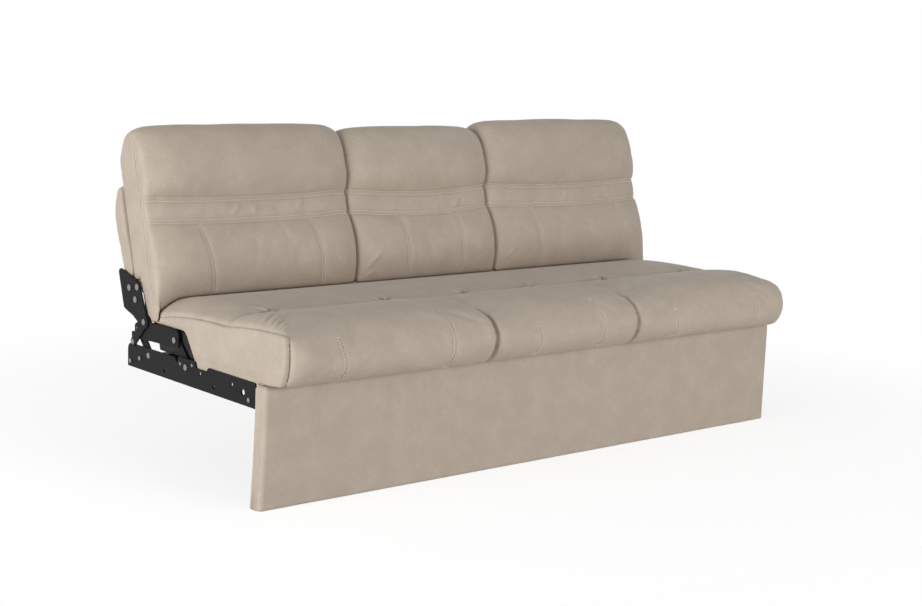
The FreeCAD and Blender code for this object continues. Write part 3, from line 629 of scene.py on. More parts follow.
def stations(x0, x1, rim, tight=(), inner=26, reach=0.10):
    """Places along the sofa with the rim's inset at each."""
    near = [rim * (1 - math.cos(math.radians(a))) for a in RIM_TURNS]
    near += [rim + (reach - rim) * t for t in NEAR_SHARES]
    places = {x0 + d for d in near} | {x1 - d for d in near}
    places |= {x0 + reach + (x1 - x0 - 2 * reach) * i / inner for i in range(1, inner)}
    places |= {x + sign * d for x in tight for sign in (-1, 1) for d in TIGHT_STEPS}
    return [(x, rim_inset(min(x - x0, x1 - x), rim)) for x in sorted(places)]


print("stations on the centre cushion:", len(stations(-SECTION_X, SECTION_X, 0.006)))

# %% [markdown]
# The outer cushions' side panels hang down beside the bracket, as the cover is pulled under and
# stapled there. The panel is kept inside the plates wherever the bracket and its pins pass.

# %% The side that hangs down
SIDE_PROUD = 0.0015
TAIL_REAR, TAIL_DROP = 0.008, 0.021
TAIL_CLEAR_N, TAIL_CLEAR_S = 0.018, 0.076
EAR_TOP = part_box("seat_bracket_right")[1].z
PLATE_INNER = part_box("base_rail_right")[1].x - 0.0048


def ramp(values, reach):
    """0 below 0 and 1 from reach on."""
    return np.clip(values / reach, 0.0, 1.0)


def kept_within(points, limit):
    points[:, 0] = np.clip(points[:, 0], -limit, limit)
    return points


def tailed(points, x0, x1):
    """Draws the cover's outer side down beside the bracket, and keeps it off the bracket and its pins."""
    outer_left, outer_right = SIDE_PROUD * (x0 < -0.5), SIDE_PROUD * (x1 > 0.5)
    points[:, 0] = np.clip(points[:, 0], x0 - outer_left, x1 + outer_right)
    n, s = to_back(points)
    beyond = ramp(np.abs(points[:, 0]) - SEAT_END_X - 0.001, 0.0025)
    n = n - TAIL_REAR * beyond * np.clip(1.0 - n / 0.05, 0.0, 1.0) * (s < 0.106) * (n > -0.02)
    s = s - TAIL_DROP * beyond * ramp(0.060 - s, 0.040)
    points[:, 1] = HINGE.y + s * LEAN_SIN - n * LEAN_COS
    points[:, 2] = HINGE.z + s * LEAN_COS + n * LEAN_SIN
    low = ramp(EAR_TOP + 0.008 - points[:, 2], 0.008)
    swept = ramp(TAIL_CLEAR_N + 0.006 - n, 0.006) * ramp(TAIL_CLEAR_S + 0.010 - s, 0.010)
    return kept_within(points, mix(BACK_END_X + SIDE_PROUD, PLATE_INNER, np.maximum(low, swept)))


print("side panels stay within", round(PLATE_INNER, 4), "beside the plates")

# %% [markdown]
# The cover is cut a touch too small and blown up against its seams, so it stands full and nearly
# smooth, as a factory cushion does. Pinned are the rear, the heel, the band's two seams and the
# seam at each end. The head roll's upper half is pulled tight and doesn't wrinkle.

# %% Stuffing a back cushion
VOXEL = 0.0072
BACK_RIM, INNER_DRAW = 0.006, 0.62
TAUT_FROM, TAUT_REACH = 0.36, 0.06


def back_pins(points, n, s, x0, x1):
    """1 where a back cushion is sewn down."""
    pins = np.zeros(len(points))
    pins[(n < -0.034) | (s < 0.080)] = 1.0
    for level in (BAND_LOW, BAND_HIGH):
        pins[(n > 0.03) & (np.abs(s - level) < 0.0045)] = 1.0
    end = np.minimum(points[:, 0] - x0, x1 - points[:, 0])
    pins[(end < 0.010) & (np.abs(n - EDGE_N + 0.004) < 0.007)] = 1.0
    return pins


def back_form(name, x0, x1, rise, sag_at):
    middle, half = (x0 + x1) / 2, (x1 - x0) / 2
    at_sofa_end = abs(middle) > half / 2
    loops = []
    for x, inset in stations(x0, x1, BACK_RIM):
        d = min(x - x0, x1 - x)
        crown = rise - CROWN_DROP * ((x - middle) / half) ** 2 - CORNER_DROP * rounding(d, CORNER_REACH)
        outer = at_sofa_end and abs(x) > abs(middle)
        draw = easing(d, DRAW_REACH) * (1.0 if outer else INNER_DRAW)
        loop = back_loop(draw, crown, end_sink(x), sag_at(x))
        loops.append(np.array([from_back(x, n, s) for n, s in inset_loop(loop, inset)]))
    piece = skin(name, loops)
    remeshed(piece, VOXEL)
    points = coords(piece)
    n, s = to_back(points)
    s = s + sag_at(points[:, 0])
    stuffed(piece, back_pins(points, n, s, x0, x1), taut=ramp(s - TAUT_FROM, TAUT_REACH))
    finer(piece)
    set_coords(piece, tailed(coords(piece), x0, x1))
    return piece


print("cloth squares are", 1000 * VOXEL, "mm wide")

# %% [markdown]
# The band's two seams run across the front and hang a little in the middle. The lumbar panel has
# two upright seams, and the sofa's outer ends have a seam up the side. All of them are marked on
# the stuffed skin, sunk, and sewn with two rows of thread. The folds are where the photographed
# cover creases: in the band and at the lower inner corners.

# %% Sewing a back cushion
SIDE_SEAM_N, SIDE_SEAM_LOW, SIDE_SEAM_HIGH = 0.047, 0.030, 0.450
PANEL_LOW, PANEL_GAP = 0.058, 0.006
BAND_SEAM = (0.0046, 0.0062, 0.0008, 0.022, 0.020)
PANEL_SEAM = (0.0030, 0.0068, 0.0003, 0.024, 0.014)
EDGE_SEAM = (0.0020, 0.0060, 0.0005, 0.015, 0.016)
FOLD_WIDTH = 0.009
CLIMB = np.linspace(0.0, 1.0, 40)
INTO_BACK = from_back(0, -1, 0) - from_back(0, 0, 0)


def between(start, stop):
    return [(mix(start[0], stop[0], t), mix(start[1], stop[1], t)) for t in CLIMB]


def back_cushion(side, x0, x1, rise, sag, panel_lines, folds, seed):
    middle, half = (x0 + x1) / 2, (x1 - x0) / 2

    def sag_at(x):
        return sag * (1.0 - ((x - middle) / half) ** 2)

    piece = back_form("back_skin_" + side, x0, x1, rise, sag_at)
    tree = tree_of(piece)

    def mark(places):
        return chalk(tree, [from_back(x, 0.4, row) for x, row in places], INTO_BACK)

    across = np.linspace(x0 + 0.005, x1 - 0.005, 120)
    bands = [mark([(x, level - sag_at(x)) for x in across]) for level in (BAND_LOW, BAND_HIGH)]
    panels = []
    for low_x, high_x in panel_lines:
        panel_top = BAND_LOW - sag_at(high_x) - PANEL_GAP
        panels.append(mark(between((low_x, PANEL_LOW), (high_x, panel_top))))
    edges = []
    for x, outward in ((x0, -1), (x1, 1)):
        if abs(x) == BACK_END_X:
            rows = np.linspace(SIDE_SEAM_LOW, SIDE_SEAM_HIGH + rise, 80)
            starts = [from_back(x + 0.2 * outward, SIDE_SEAM_N, row) for row in rows]
            edges.append(chalk(tree, starts, (-outward, 0, 0)))
    for seams, cut, first in ((bands, BAND_SEAM, 0), (panels, PANEL_SEAM, 10), (edges, EDGE_SEAM, 20)):
        for i, seam in enumerate(seams):
            sewn(piece, seam, *cut, seed=seed + first + i)
    for start, stop, height in folds:
        fold(piece, mark(between(start, stop)), height, FOLD_WIDTH)
    told(piece)
    return (piece,) + stitched(piece.name, tree_of(piece), bands + panels + edges)


print("a band seam sinks", 1000 * BAND_SEAM[0], "mm")

# %% [markdown]
# The outer cushions are wide and the centre one is narrow. Each row holds the cushion's ends, how
# much its top stands above or below the drawing, the sag of its band, the feet and heads of its
# upright seams, its folds with their height, and a seed for its puckers.

# %% Make the three back cushions
SLIT = 0.0005
BACK_CUSHIONS = (
    ("left", -BACK_END_X, -SECTION_X - SLIT, 0.004, 0.009, ((-0.690, -0.717), (-0.359, -0.382)),
     (((-0.62, 0.245), (-0.585, 0.272), 0.0034), ((-0.56, 0.243), (-0.535, 0.270), 0.0026),
      ((-0.42, 0.250), (-0.40, 0.278), 0.0028), ((-0.262, 0.078), (-0.310, 0.120), 0.0030)), 3),
    ("centre", -SECTION_X, SECTION_X, -0.008, 0.015, ((-0.079, -0.085), (0.110, 0.113)),
     (((-0.232, 0.070), (-0.165, 0.135), 0.0030), ((-0.225, 0.062), (-0.190, 0.075), 0.0020),
      ((0.105, 0.232), (0.135, 0.262), 0.0034), ((0.145, 0.240), (0.160, 0.268), 0.0026)), 5),
    ("right", SECTION_X + SLIT, BACK_END_X, 0.009, 0.010, ((0.414, 0.395), (0.751, 0.745)),
     (((0.545, 0.242), (0.550, 0.275), 0.0026), ((0.268, 0.072), (0.318, 0.118), 0.0020),
      ((0.60, 0.244), (0.622, 0.272), 0.0022)), 7))
back_skins = [back_cushion(*row) for row in BACK_CUSHIONS]

# %% [markdown]
# ## The seat
# The seat is one upholstered slab. A shallow sewn channel across it divides the rear panel from
# the front roll, which turns down over the front like a waterfall. Two deep creases divide the
# roll into three, and die out on its top, so the slab is made as one skin.

# %% Side view of the seat
FRAME_TOP = HINGE.z + 0.002
SEAT_BASE = FRAME_TOP + 0.009
SEAT_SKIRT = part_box("seat_pad_centre")[0].z
CHANNEL = 0.190
KNUCKLE_R, TUCK = 0.0538, 0.011


def seat_loop(crease, boxed, sink, soft_end=0.0):
    """Loop at one place; crease and boxed are 1 in a crease and at an end, soft_end rounds that end more."""
    hinge_back = HINGE.y - FACE_Y
    knuckle = KNUCKLE_R - HEEL_DROP * sink

    def about_hinge(lean):
        angle = math.radians(lean)
        return (hinge_back + knuckle * math.sin(angle), HINGE.z + knuckle * math.cos(angle))

    knuckle_top, knuckle_mid, knuckle_end = about_hinge(-2.0), about_hinge(27.0), about_hinge(56.0)
    rear_low = (hinge_back + mix(0.026, -0.020, sink), SEAT_BASE - 0.002 * sink)
    channel = (CHANNEL, SEAT_BASE + 0.054 - 0.021 * boxed)
    crown = ((CHANNEL + hinge_back) / 2, SEAT_BASE + 0.060 - 0.033 * sink)
    roll_top = (0.43 * CHANNEL, SEAT_BASE + 0.066 - 0.021 * boxed - 0.009 * crease)
    round_end = boxed * soft_end
    front_z = SEAT_BASE + 0.055 - 0.006 * boxed - 0.013 * crease - 0.010 * round_end
    roll_front = (-0.026 - 0.029 * boxed + 0.011 * crease + 0.022 * round_end, front_z)
    nose = (-0.089 + 0.025 * boxed + 0.017 * crease + 0.013 * round_end, SEAT_BASE - 0.007)
    skirt = (-0.046 + 0.004 * boxed + 0.011 * crease + 0.006 * round_end, SEAT_SKIRT)
    nose_high = (mix(roll_front[0], nose[0], 0.78), mix(roll_front[1], nose[1], 0.44))
    nose_low = (mix(skirt[0], nose[0], 0.72), mix(skirt[1], nose[1], 0.42))
    tuck, ledge = (TUCK, SEAT_SKIRT), (TUCK, SEAT_BASE)
    points = line(rear_low, knuckle_end, 4) + arc(knuckle_end, knuckle_mid, knuckle_top)
    points += arc(knuckle_top, crown, channel, 50) + arc(channel, roll_top, roll_front, 40)
    points += arc(roll_front, nose_high, nose) + arc(nose, nose_low, skirt)
    points += line(skirt, tuck) + line(tuck, ledge) + line(ledge, rear_low, 60)
    return even_loop(points, 180)


print("seat overhangs the kickboard by", round(-1000 * seat_loop(0.0, 0.0, 0.0)[:, 0].min()), "mm")

# %% [markdown]
# The slab is stuffed like the back cushions, with its channel, creases, ends and underside pinned.
# Its rear edge rounds the hinge. Where two back cushions meet, the seat puffs up a little into the
# slit between them, as soft foam does, so no light shows through.

# %% Stuffing the seat
CREASES = (-0.252, 0.236)
CREASE_REACH, BOX_REACH, SEAT_RIM = 0.022, 0.058, 0.005
PUFF, PUFF_REACH, PUFF_RADIUS = 0.004, 0.0055, 0.064


def seat_pins(points):
    """1 where the seat is sewn down."""
    back, z = points[:, 1] - FACE_Y, points[:, 2]
    pins = np.zeros(len(points))
    pins[((back > 0.0) & (z < SEAT_BASE + 0.006)) | (z < SEAT_SKIRT + 0.006) | (back > 0.490)] = 1.0
    pins[(z > SEAT_BASE + 0.010) & (np.abs(back - CHANNEL) < 0.0045)] = 1.0
    pins[SEAT_END_X - np.abs(points[:, 0]) < 0.008] = 1.0
    for place in CREASES:
        pins[(np.abs(points[:, 0] - place) < 0.007) & (back < 0.06)] = 1.0
    return pins


def puffed(points):
    """Lifts the rear edge into the slits between the back cushions."""
    from_hinge = points[:, 1:] - np.array((HINGE.y, HINGE.z))
    radius = np.linalg.norm(from_hinge, axis=1)
    aside = np.abs(np.abs(points[:, 0]) - SECTION_X)
    lift = PUFF * np.exp(-((aside / PUFF_REACH) ** 2)) * (radius < PUFF_RADIUS) * (from_hinge[:, 1] > 0.02)
    points[:, 1:] += from_hinge * (lift / radius)[:, None]
    return points


def seat_slab():
    loops = []
    for x, inset in stations(-SEAT_END_X, SEAT_END_X, SEAT_RIM, tight=CREASES, inner=60):
        crease = rounding(min(abs(x - place) for place in CREASES), CREASE_REACH)
        loop = seat_loop(crease, rounding(SEAT_END_X - abs(x), BOX_REACH), end_sink(x), float(x > 0))
        loops.append(np.array([(x, back + FACE_Y, z) for back, z in inset_loop(loop, inset)]))
    piece = skin("seat_skin", loops)
    remeshed(piece, VOXEL)
    stuffed(piece, seat_pins(coords(piece)), cap=0.022)
    finer(piece)
    set_coords(piece, puffed(kept_within(coords(piece), SEAT_END_X)))
    return piece


seat_skin = seat_slab()
print(seat_skin.name, len(seat_skin.data.polygons), "faces")

# %% [markdown]
# The channel is seen from above, so it is marked with rays that fall straight down. The roll turns
# under at the front, so its creases and darts are marked with rays that aim at the roll's middle.

# %% Marking the seat
ROLL_HUB = Vector((0.0, 0.030 + FACE_Y, SEAT_BASE - 0.002))
RAY_FROM, RAY_TOP = 0.3, 0.7
DOWN = Vector((0, 0, -1))


def on_roll(tree, xs, angles):
    """Places on the front roll, marked by rays toward its middle."""
    starts = [(x, ROLL_HUB.y - RAY_FROM * math.cos(a), ROLL_HUB.z + RAY_FROM * math.sin(a))
              for x, a in zip(xs, angles)]
    return chalk(tree, starts, lambda start: Vector((0, ROLL_HUB.y - start[1], ROLL_HUB.z - start[2])))


def on_top(tree, places):
    return chalk(tree, [(x, back + FACE_Y, RAY_TOP) for x, back in places], DOWN)


middle_top = on_top(tree_of(seat_skin), [(0.0, CHANNEL)])[0]
print("seat top at the channel:", round(float(middle_top[2]), 4))

# %% [markdown]
# Short darts take in the fullness on the roll's front. The top is eased round the boxed front
# corners in gathers, stronger at the left end than at the right one. A plain seam runs down the
# front of each end. Each row of the gathers holds its start and end, how far it runs in, its
# height and its width.

# %% Darts, gathers and rims
DARTS = ((-0.713, -0.707, 22, -34), (-0.384, -0.394, 56, -40), (-0.117, -0.114, 8, -34),
         (0.098, 0.106, 44, -34), (0.378, 0.381, 10, -34), (0.702, 0.706, 18, -26))
GATHERS = ((-0.030, 0.004, 0.042, 0.0034, 0.0062), (-0.012, 0.030, 0.064, 0.0044, 0.0066),
           (0.008, 0.050, 0.058, 0.0038, 0.0062), (0.030, 0.078, 0.074, 0.0046, 0.0072),
           (0.058, 0.106, 0.070, 0.0036, 0.0078))
RIGHT_GATHER, END_MARGIN, DART_BEND = 0.35, 0.004, 0.005


def dart_line(tree, high, low, first, last):
    xs = mix(high, low, CLIMB) + DART_BEND * np.sin(math.pi * CLIMB)
    return on_roll(tree, xs, np.radians(mix(first, last, CLIMB)))


def gathered(piece, tree):
    """Folds that run from the ends into the top."""
    for sign in (-1, 1):
        for near, far, inward, height, width in GATHERS:
            start, stop = (sign * (SEAT_END_X - END_MARGIN), near), (sign * (SEAT_END_X - inward), far)
            share = RIGHT_GATHER if sign > 0 else 1.0
            fold(piece, on_top(tree, between(start, stop)), height * share, width)


def end_rims():
    """The seams down the front of both ends."""
    rims = []
    for sign in (-1, 1):
        loop = seat_loop(0.0, 1.0, 1.0, float(sign > 0))
        rim = [(b, z) for b, z in loop if b < -0.02 and SEAT_SKIRT + 0.012 < z < SEAT_BASE + 0.038]
        rims.append(np.array([(sign * (SEAT_END_X - 0.001), b + FACE_Y, z) for b, z in rim]))
    return rims


print(len(DARTS), "darts and", len(GATHERS), "gathers at each end")

# %% [markdown]
# The creases are sewn first, then the channel with a small pull where each dart points at it, then
# the darts and the gathers. The order matters, because every seam moves the skin a little.

# %% Sewing the seat
CREASE_SEAM = (0.0120, 0.0044, 0.0006, 0.02, 0.018)
CHANNEL_SEAM = (0.0046, 0.0070, 0.0014, 0.030, 0.028)
DART_SEAM = (0.0030, 0.0066, 0.0003, 0.02, 0.013)
PULL_REACH, PULL_BEND = 0.032, 0.25


def sew_seat(piece):
    tree = tree_of(piece)
    across = np.linspace(END_MARGIN - SEAT_END_X, SEAT_END_X - END_MARGIN, 300)
    channel = on_top(tree, [(x, CHANNEL) for x in across])
    creases = [on_roll(tree, [place] * 60, np.radians(np.linspace(78, -52, 60))) for place in CREASES]
    darts = [dart_line(tree, *row) for row in DARTS]
    for i, seam in enumerate(creases):
        sewn(piece, seam, *CREASE_SEAM, seed=40 + i, fade=0.05)
    sewn(piece, channel, *CHANNEL_SEAM, seed=44)
    aside = np.linspace(-PULL_REACH, PULL_REACH, 20)
    for i, dart in enumerate(darts):
        high = DARTS[i][0]
        pull = on_top(tree, [(high + reach, CHANNEL + PULL_BEND * abs(reach)) for reach in aside])
        sewn(piece, pull, depth=0.0062, width=0.0060, pucker=0.0, fade=0.03)
        tuft(piece, on_top(tree, [(high, CHANNEL)])[0], depth=0.0100, width=0.022, ridge=0.0046, seed=50 + i)
        sewn(piece, dart, *DART_SEAM, seed=60 + i, fade=0.012)
    gathered(piece, tree)
    smooth_shaded(piece)
    # The end rims get the painted shade strip alone, without thread.
    return stitched(piece.name, tree_of(piece), darts, cracks=end_rims())


seat_sewing = sew_seat(seat_skin)

# %% [markdown]
# ## The seat's ends
# A flat boxing panel closes each end of the seat. Its upper edge follows the slab's own end, so
# the two meet in one seam, and its lower edge steps up at the rear to let the links swing.

# %% Outline of a boxing panel
SIDE_LOW = SEAT_SKIRT - 0.009
SIDE_DIP = SIDE_LOW - 0.009
SIDE_UNDER = FRAME_TOP + 0.0008
SIDE_REAR = 0.490
PIVOT_BACK = joint_at["link_swing"].y - FACE_Y


def side_outline(sign):
    low, dip, under, rear, pivot = SIDE_LOW, SIDE_DIP, SIDE_UNDER, SIDE_REAR, PIVOT_BACK
    loop = [tuple(point) for point in seat_loop(0.0, 1.0, 1.0, float(sign > 0))]
    outline = [(b, z) for b, z in loop if z > SEAT_BASE + 0.002 and b < rear - 0.004]
    outline += [(b, z) for b, z in loop if b < -0.02 and z <= SEAT_BASE + 0.002]
    skirt = SEAT_SKIRT - 0.0036
    outline += line((0.0, skirt), (0.041, skirt), 8) + line((0.0495, low), (pivot - 0.100, low), 30)
    outline += line((pivot - 0.085, dip), (pivot - 0.048, dip), 8)
    outline += arc((pivot - 0.048, dip), (pivot - 0.043, dip + 0.001), (pivot - 0.040, dip + 0.005), 4)
    outline += line((pivot - 0.040, dip + 0.005), (pivot + 0.010, under - 0.004), 14)
    outline += line((pivot + 0.020, under), (rear - 0.008, under), 20)
    outline += arc((rear - 0.008, under), (rear - 0.002, under + 0.002), (rear, under + 0.008), 6)
    return even_loop(outline, 220)


print("boxing panel hangs to", round(SIDE_DIP, 4))

# %% [markdown]
# The panel is a thin skin with a rounded outer rim and a faint bulge in its middle. Behind the rail
# it lies flat on the inner side of the plate, so the seat can travel past it.

# %% Boxing panels
SIDE_VOXEL, BULGE = 0.0040, 0.0028
SIDE_ROWS = ((SEAT_END_X - 0.004, 0.0), (SIDE_END_X - 0.006, 0.0), (SIDE_END_X - 0.0035, 0.0008),
             (SIDE_END_X - 0.0015, 0.0024), (SIDE_END_X - 0.0004, 0.005), (SIDE_END_X, 0.010))
RAIL_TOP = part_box("base_rail_right")[1].z


def seat_side(side, sign):
    outline = side_outline(sign)
    loops = []
    for x, inset in SIDE_ROWS:
        loop = inset_loop(outline, inset + 0.001)
        loops.append(np.array([(sign * x, b + FACE_Y, z) for b, z in loop]))
    piece = skin("seat_side_" + side, loops if sign > 0 else loops[::-1])
    remeshed(piece, SIDE_VOXEL, smooth=2)
    finer(piece)
    points = coords(piece)
    back, z = points[:, 1] - FACE_Y, points[:, 2]
    crown = np.exp(-(((back - 0.13) / 0.16) ** 2) - ((z - 0.335) / 0.035) ** 2)
    points[:, 0] += sign * BULGE * crown * (np.abs(points[:, 0]) > SIDE_END_X - 0.003)
    behind_rail = ramp(RAIL_TOP + 0.026 - z, 0.022) * ramp(back - 0.030, 0.020)
    set_coords(piece, kept_within(points, mix(SIDE_END_X + 0.003, PLATE_INNER, behind_rail)))
    return told(piece)


side_skins = {"left": seat_side("left", -1), "right": seat_side("right", 1)}

# %% [markdown]
# ## Rear pad
# The rear of the back is one wide soft panel between the brackets. Its side view is two arcs that
# meet at a crest. It is stuffed like the cushions, but gently, and stays inside the plates as far
# up as the rails reach when the back lies flat.

# %% Rear pad
PAD_PROUD, PAD_FREE_S = 0.006, 0.20
PAD_VOXEL, PAD_RIM, PAD_DRAW_REACH = 0.008, 0.005, 0.11
PAD_CREST_S = 0.268


def pad_loop(reach, draw):
    foot = (-0.080, 0.114 + 0.004 * draw)
    head = (-0.058, 0.352 - 0.006 * draw)
    crest = PAD_CREST_S
    crest_n = -(reach - HINGE.y - crest * LEAN_SIN) / LEAN_COS + 0.002 + 0.003 * draw
    low_mid = (mix(foot[0], crest_n, 0.62), mix(foot[1], crest, 0.40))
    high_mid = (mix(head[0], crest_n, 0.66), mix(head[1], crest, 0.46))
    front_low, front_high = (REAR_N, foot[1]), (REAR_N, head[1])
    points = line(front_low, foot) + arc(foot, low_mid, (crest_n, crest))
    points += arc((crest_n, crest), high_mid, head) + line(head, front_high)
    return even_loop(points + line(front_high, front_low, 30), 110)


def rear_pad():
    low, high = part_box("back_rear_pad")
    loops = []
    first, last = low.x - PAD_PROUD, high.x + PAD_PROUD
    for x, inset in stations(first, last, PAD_RIM, inner=40):
        loop = pad_loop(high.y, easing(min(x - first, last - x), PAD_DRAW_REACH))
        loops.append(np.array([from_back(x, n, s) for n, s in inset_loop(loop, inset)]))
    piece = skin("back_rear_skin", loops)
    remeshed(piece, PAD_VOXEL)
    n, s = to_back(coords(piece))
    pins = np.where((n > -0.046) | (s < 0.130) | (s > 0.345), 1.0, 0.0)
    stuffed(piece, pins, pressure=3.0, cap=0.004)
    finer(piece)
    points = coords(piece)
    clear_of_rail = ramp(to_back(points)[1] - PAD_FREE_S, 0.03)
    set_coords(piece, kept_within(points, mix(PLATE_INNER, last, clear_of_rail)))
    return told(piece)


rear_skin = rear_pad()

# %% [markdown]
# ## Kickboard
# The kickboard is a board under thin padding with its cover pulled round the edges. It could be a
# bevelled box, but a covered board is never quite flat: the face has a faint wave, and the lower
# left end leans out a little, where the cover is folded under.

# %% Kickboard
KICK_RIM, KICK_TOP_R, KICK_FOOT_R, KICK_REAR_R = 0.010, 0.012, 0.004, 0.010
KICK_TURNS = (0, 20, 40, 60, 80, 90)
FLARE_HEIGHT, FLARE_OUT, FLARE_REACH = 0.240, 0.011, 0.080


def kick_loop(back, top, inset):
    a, b, t = inset, back - inset, top - inset
    r, foot, rear = KICK_TOP_R, KICK_FOOT_R, KICK_REAR_R
    points = line((b, 0.0), (a + foot, 0.0))
    points += arc((a + foot, 0.0), (a + 0.0012, 0.0012), (a, foot), 4) + line((a, foot), (a, t - r), 60)
    points += arc((a, t - r), (a + r * 0.293, t - r * 0.293), (a + r, t)) + line((a + r, t), (b - rear, t))
    points += arc((b - rear, t), (b - 0.003, t - 0.003), (b, t - rear), 6)
    return even_loop(points + line((b, t - rear), (b, 0.0), 60), 150)


def kickboard():
    low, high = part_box("kickboard_cover")
    edge = [KICK_RIM * (1 - math.cos(math.radians(a))) for a in KICK_TURNS]
    places = [low.x + d for d in edge] + list(np.linspace(low.x + 0.02, high.x - 0.02, 180))
    places += [high.x - d for d in reversed(edge)]
    loops = []
    for x in places:
        loop = kick_loop(high.y - FACE_Y, high.z, rim_inset(min(x - low.x, high.x - x), KICK_RIM))
        loops.append(np.array([(x, b + FACE_Y, z) for b, z in loop]))
    piece = skin("kickboard_skin", loops)
    points = coords(piece)
    front = np.exp(-((points[:, 1] - FACE_Y) / 0.01) ** 2)
    wave = 0.0006 * np.sin(points[:, 0] * 9.0 + 1.0) * np.sin(points[:, 2] * 14.0)
    wave += 0.0004 * np.sin(points[:, 0] * 23.0 + points[:, 2] * 17.0)
    points[:, 1] += wave * front
    foot = np.clip(1.0 - points[:, 2] / FLARE_HEIGHT, 0.0, 1.0) ** 1.5
    points[:, 0] -= FLARE_OUT * foot * ramp(low.x + FLARE_REACH - points[:, 0], FLARE_REACH)
    set_coords(piece, points)
    return told(piece)


kick_skin = kickboard()

# %% [markdown]
# ## Dust cloth
# A black cloth is stapled under the seat and sags a little between the slats. A strip of it hangs
# at each end, so that nothing shows between the links. Cloth simulation could let it sag, but it
# is taut and thin, so it is drawn as a grid and thickened.

# %% Sheets from a grid
def ribbon(name, rows, thickness):
    """A thin sheet over a grid of points, and the grid's area."""
    grid = np.array(rows)
    count = grid.shape[1]
    corners = [row * count + i for row in range(len(grid) - 1) for i in range(count - 1)]
    faces = [(a, a + 1, a + count + 1, a + count) for a in corners]
    piece = mesh_object(name, grid.reshape(-1, 3), faces)
    area = sum(face.area for face in piece.data.polygons)
    thick = piece.modifiers.new("thick", "SOLIDIFY")
    thick.thickness = thickness
    thick.offset = 0.0
    bake_modifiers(piece)
    smooth_shaded(piece)
    print(piece.name, len(piece.data.polygons), "faces,", round(area, 4), "square metres")
    return piece, area


FRAME_LOW, FRAME_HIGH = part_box("seat_front_tube")
TUBE = FRAME_HIGH.z - FRAME_LOW.z
print("seat tubes are", round(1000 * TUBE), "mm high")

# %% [markdown]
# The sheet lies under the seat tubes and sinks most in the middle of its four bays. The strips at
# the ends hang from the side tubes, swing inward a little, and begin where the boxing panels end.

# %% Dust cloth
CLOTH_THICK, CLOTH_SAG, FLAP_SWING, FLAP_GAP = 0.0008, 0.007, 0.005, 0.0015


def dust_sheet():
    low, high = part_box("seat_dust_cover")
    side = FRAME_HIGH.x - TUBE
    across = np.linspace(-side, side, 160)
    rows = []
    for along in np.linspace(0.0, 1.0, 40):
        sag = CLOTH_SAG * np.sin(math.tau * across / FRAME_HIGH.x) ** 2 * math.sin(math.pi * along)
        y = mix(low.y, high.y, along)
        rows.append([(x, y, FRAME_LOW.z - CLOTH_THICK - drop) for x, drop in zip(across, sag)])
    return ribbon("seat_dust_sheet", rows, CLOTH_THICK) + ((2 * side, high.y - low.y),)


def dust_flap(side, sign):
    points = coords(nodes["seat_dust_cover"])
    strip = points[sign * points[:, 0] > FRAME_HIGH.x - 0.0005]
    low, high = strip.min(0), strip.max(0)
    rows = []
    for z in np.linspace(high[2], low[2], 16):
        climb = ramp(z - SIDE_DIP - 0.005, SIDE_UNDER - SIDE_DIP - 0.009)
        front = FACE_Y + PIVOT_BACK + mix(-0.040, 0.010, climb) + FLAP_GAP
        hang = max(0.0, (FRAME_LOW.z - z) / (FRAME_LOW.z - low[2])) ** 2
        row = []
        for y in np.linspace(front, high[1], 70):
            swing = FLAP_SWING * hang * (0.75 + 0.25 * math.sin(70.0 * y))
            row.append((sign * (FRAME_HIGH.x + CLOTH_THICK / 2 - swing), y, z))
        rows.append(row)
    flat = (high[1] - rows[-1][0][1], high[2] - low[2])
    return ribbon("seat_dust_flap_" + side, rows, CLOTH_THICK * 0.9) + (flat,)


dust_cloths = [dust_sheet(), dust_flap("left", -1), dust_flap("right", 1)]

# %% [markdown]
# ## Webbing
# The back's webbing is woven tape, stretched across the timber under the cushions. The solids say
# how wide each tape is and where it lies. Each is a grid again, bowed a little between the posts.

# %% Webbing
STRAP_THICK, STRAP_BOW = 0.0016, 0.003


def straps():
    """Tapes across the back, bowed a little to the rear between the posts."""
    n, s = to_back(coords(nodes["back_webbing"]))
    edges = np.unique(np.round(s, 3))
    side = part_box("back_webbing")[1].x
    posts = np.array((-side, -SECTION_X, SECTION_X, side))
    across = np.linspace(-side, side, 180)
    span = np.clip(np.searchsorted(posts, across, side="right") - 1, 0, 2)
    share = (across - posts[span]) / (posts[span + 1] - posts[span])
    bow = STRAP_BOW * np.sin(math.pi * share) ** 2
    made = []
    for low, high in zip(edges[::2], edges[1::2]):
        rows = []
        for climb in np.linspace(low, high, 7):
            rows.append([from_back(x, n.mean() - back, climb) for x, back in zip(across, bow)])
        made.append(ribbon(f"back_strap_{len(made)}", rows, STRAP_THICK)[0])
    return made


back_straps = straps()

# %% [markdown]
# ## Node helpers
# Finishes are built from shader nodes. A few small helpers keep the lesson readable: one makes a
# node, one feeds a socket with a link or a plain value, and the others make the commonest nodes: a
# range that stretches a value, a sum, and a blend of two colours.

# %% Node helpers
def node(tree, kind, **settings):
    """A new node; each setting is one of its properties or the value of one of its inputs."""
    made = tree.nodes.new(kind)
    for key, value in settings.items():
        if hasattr(made, key):
            setattr(made, key, value)
        else:
            made.inputs[key].default_value = value
    return made


def feed(tree, value, socket):
    """Links an output to a socket, or sets a plain value on it."""
    if isinstance(value, bpy.types.NodeSocket):
        tree.links.new(value, socket)
    else:
        socket.default_value = value


def ranged(tree, source, low=0.0, high=1.0, to_low=0.0, to_high=1.0):
    """Stretches the values from low to high over another range."""
    made = node(tree, "ShaderNodeMapRange")
    for label, value in zip(("Value", "From Min", "From Max", "To Min", "To Max"),
                            (source, low, high, to_low, to_high)):
        feed(tree, value, made.inputs[label])
    return made.outputs["Result"]


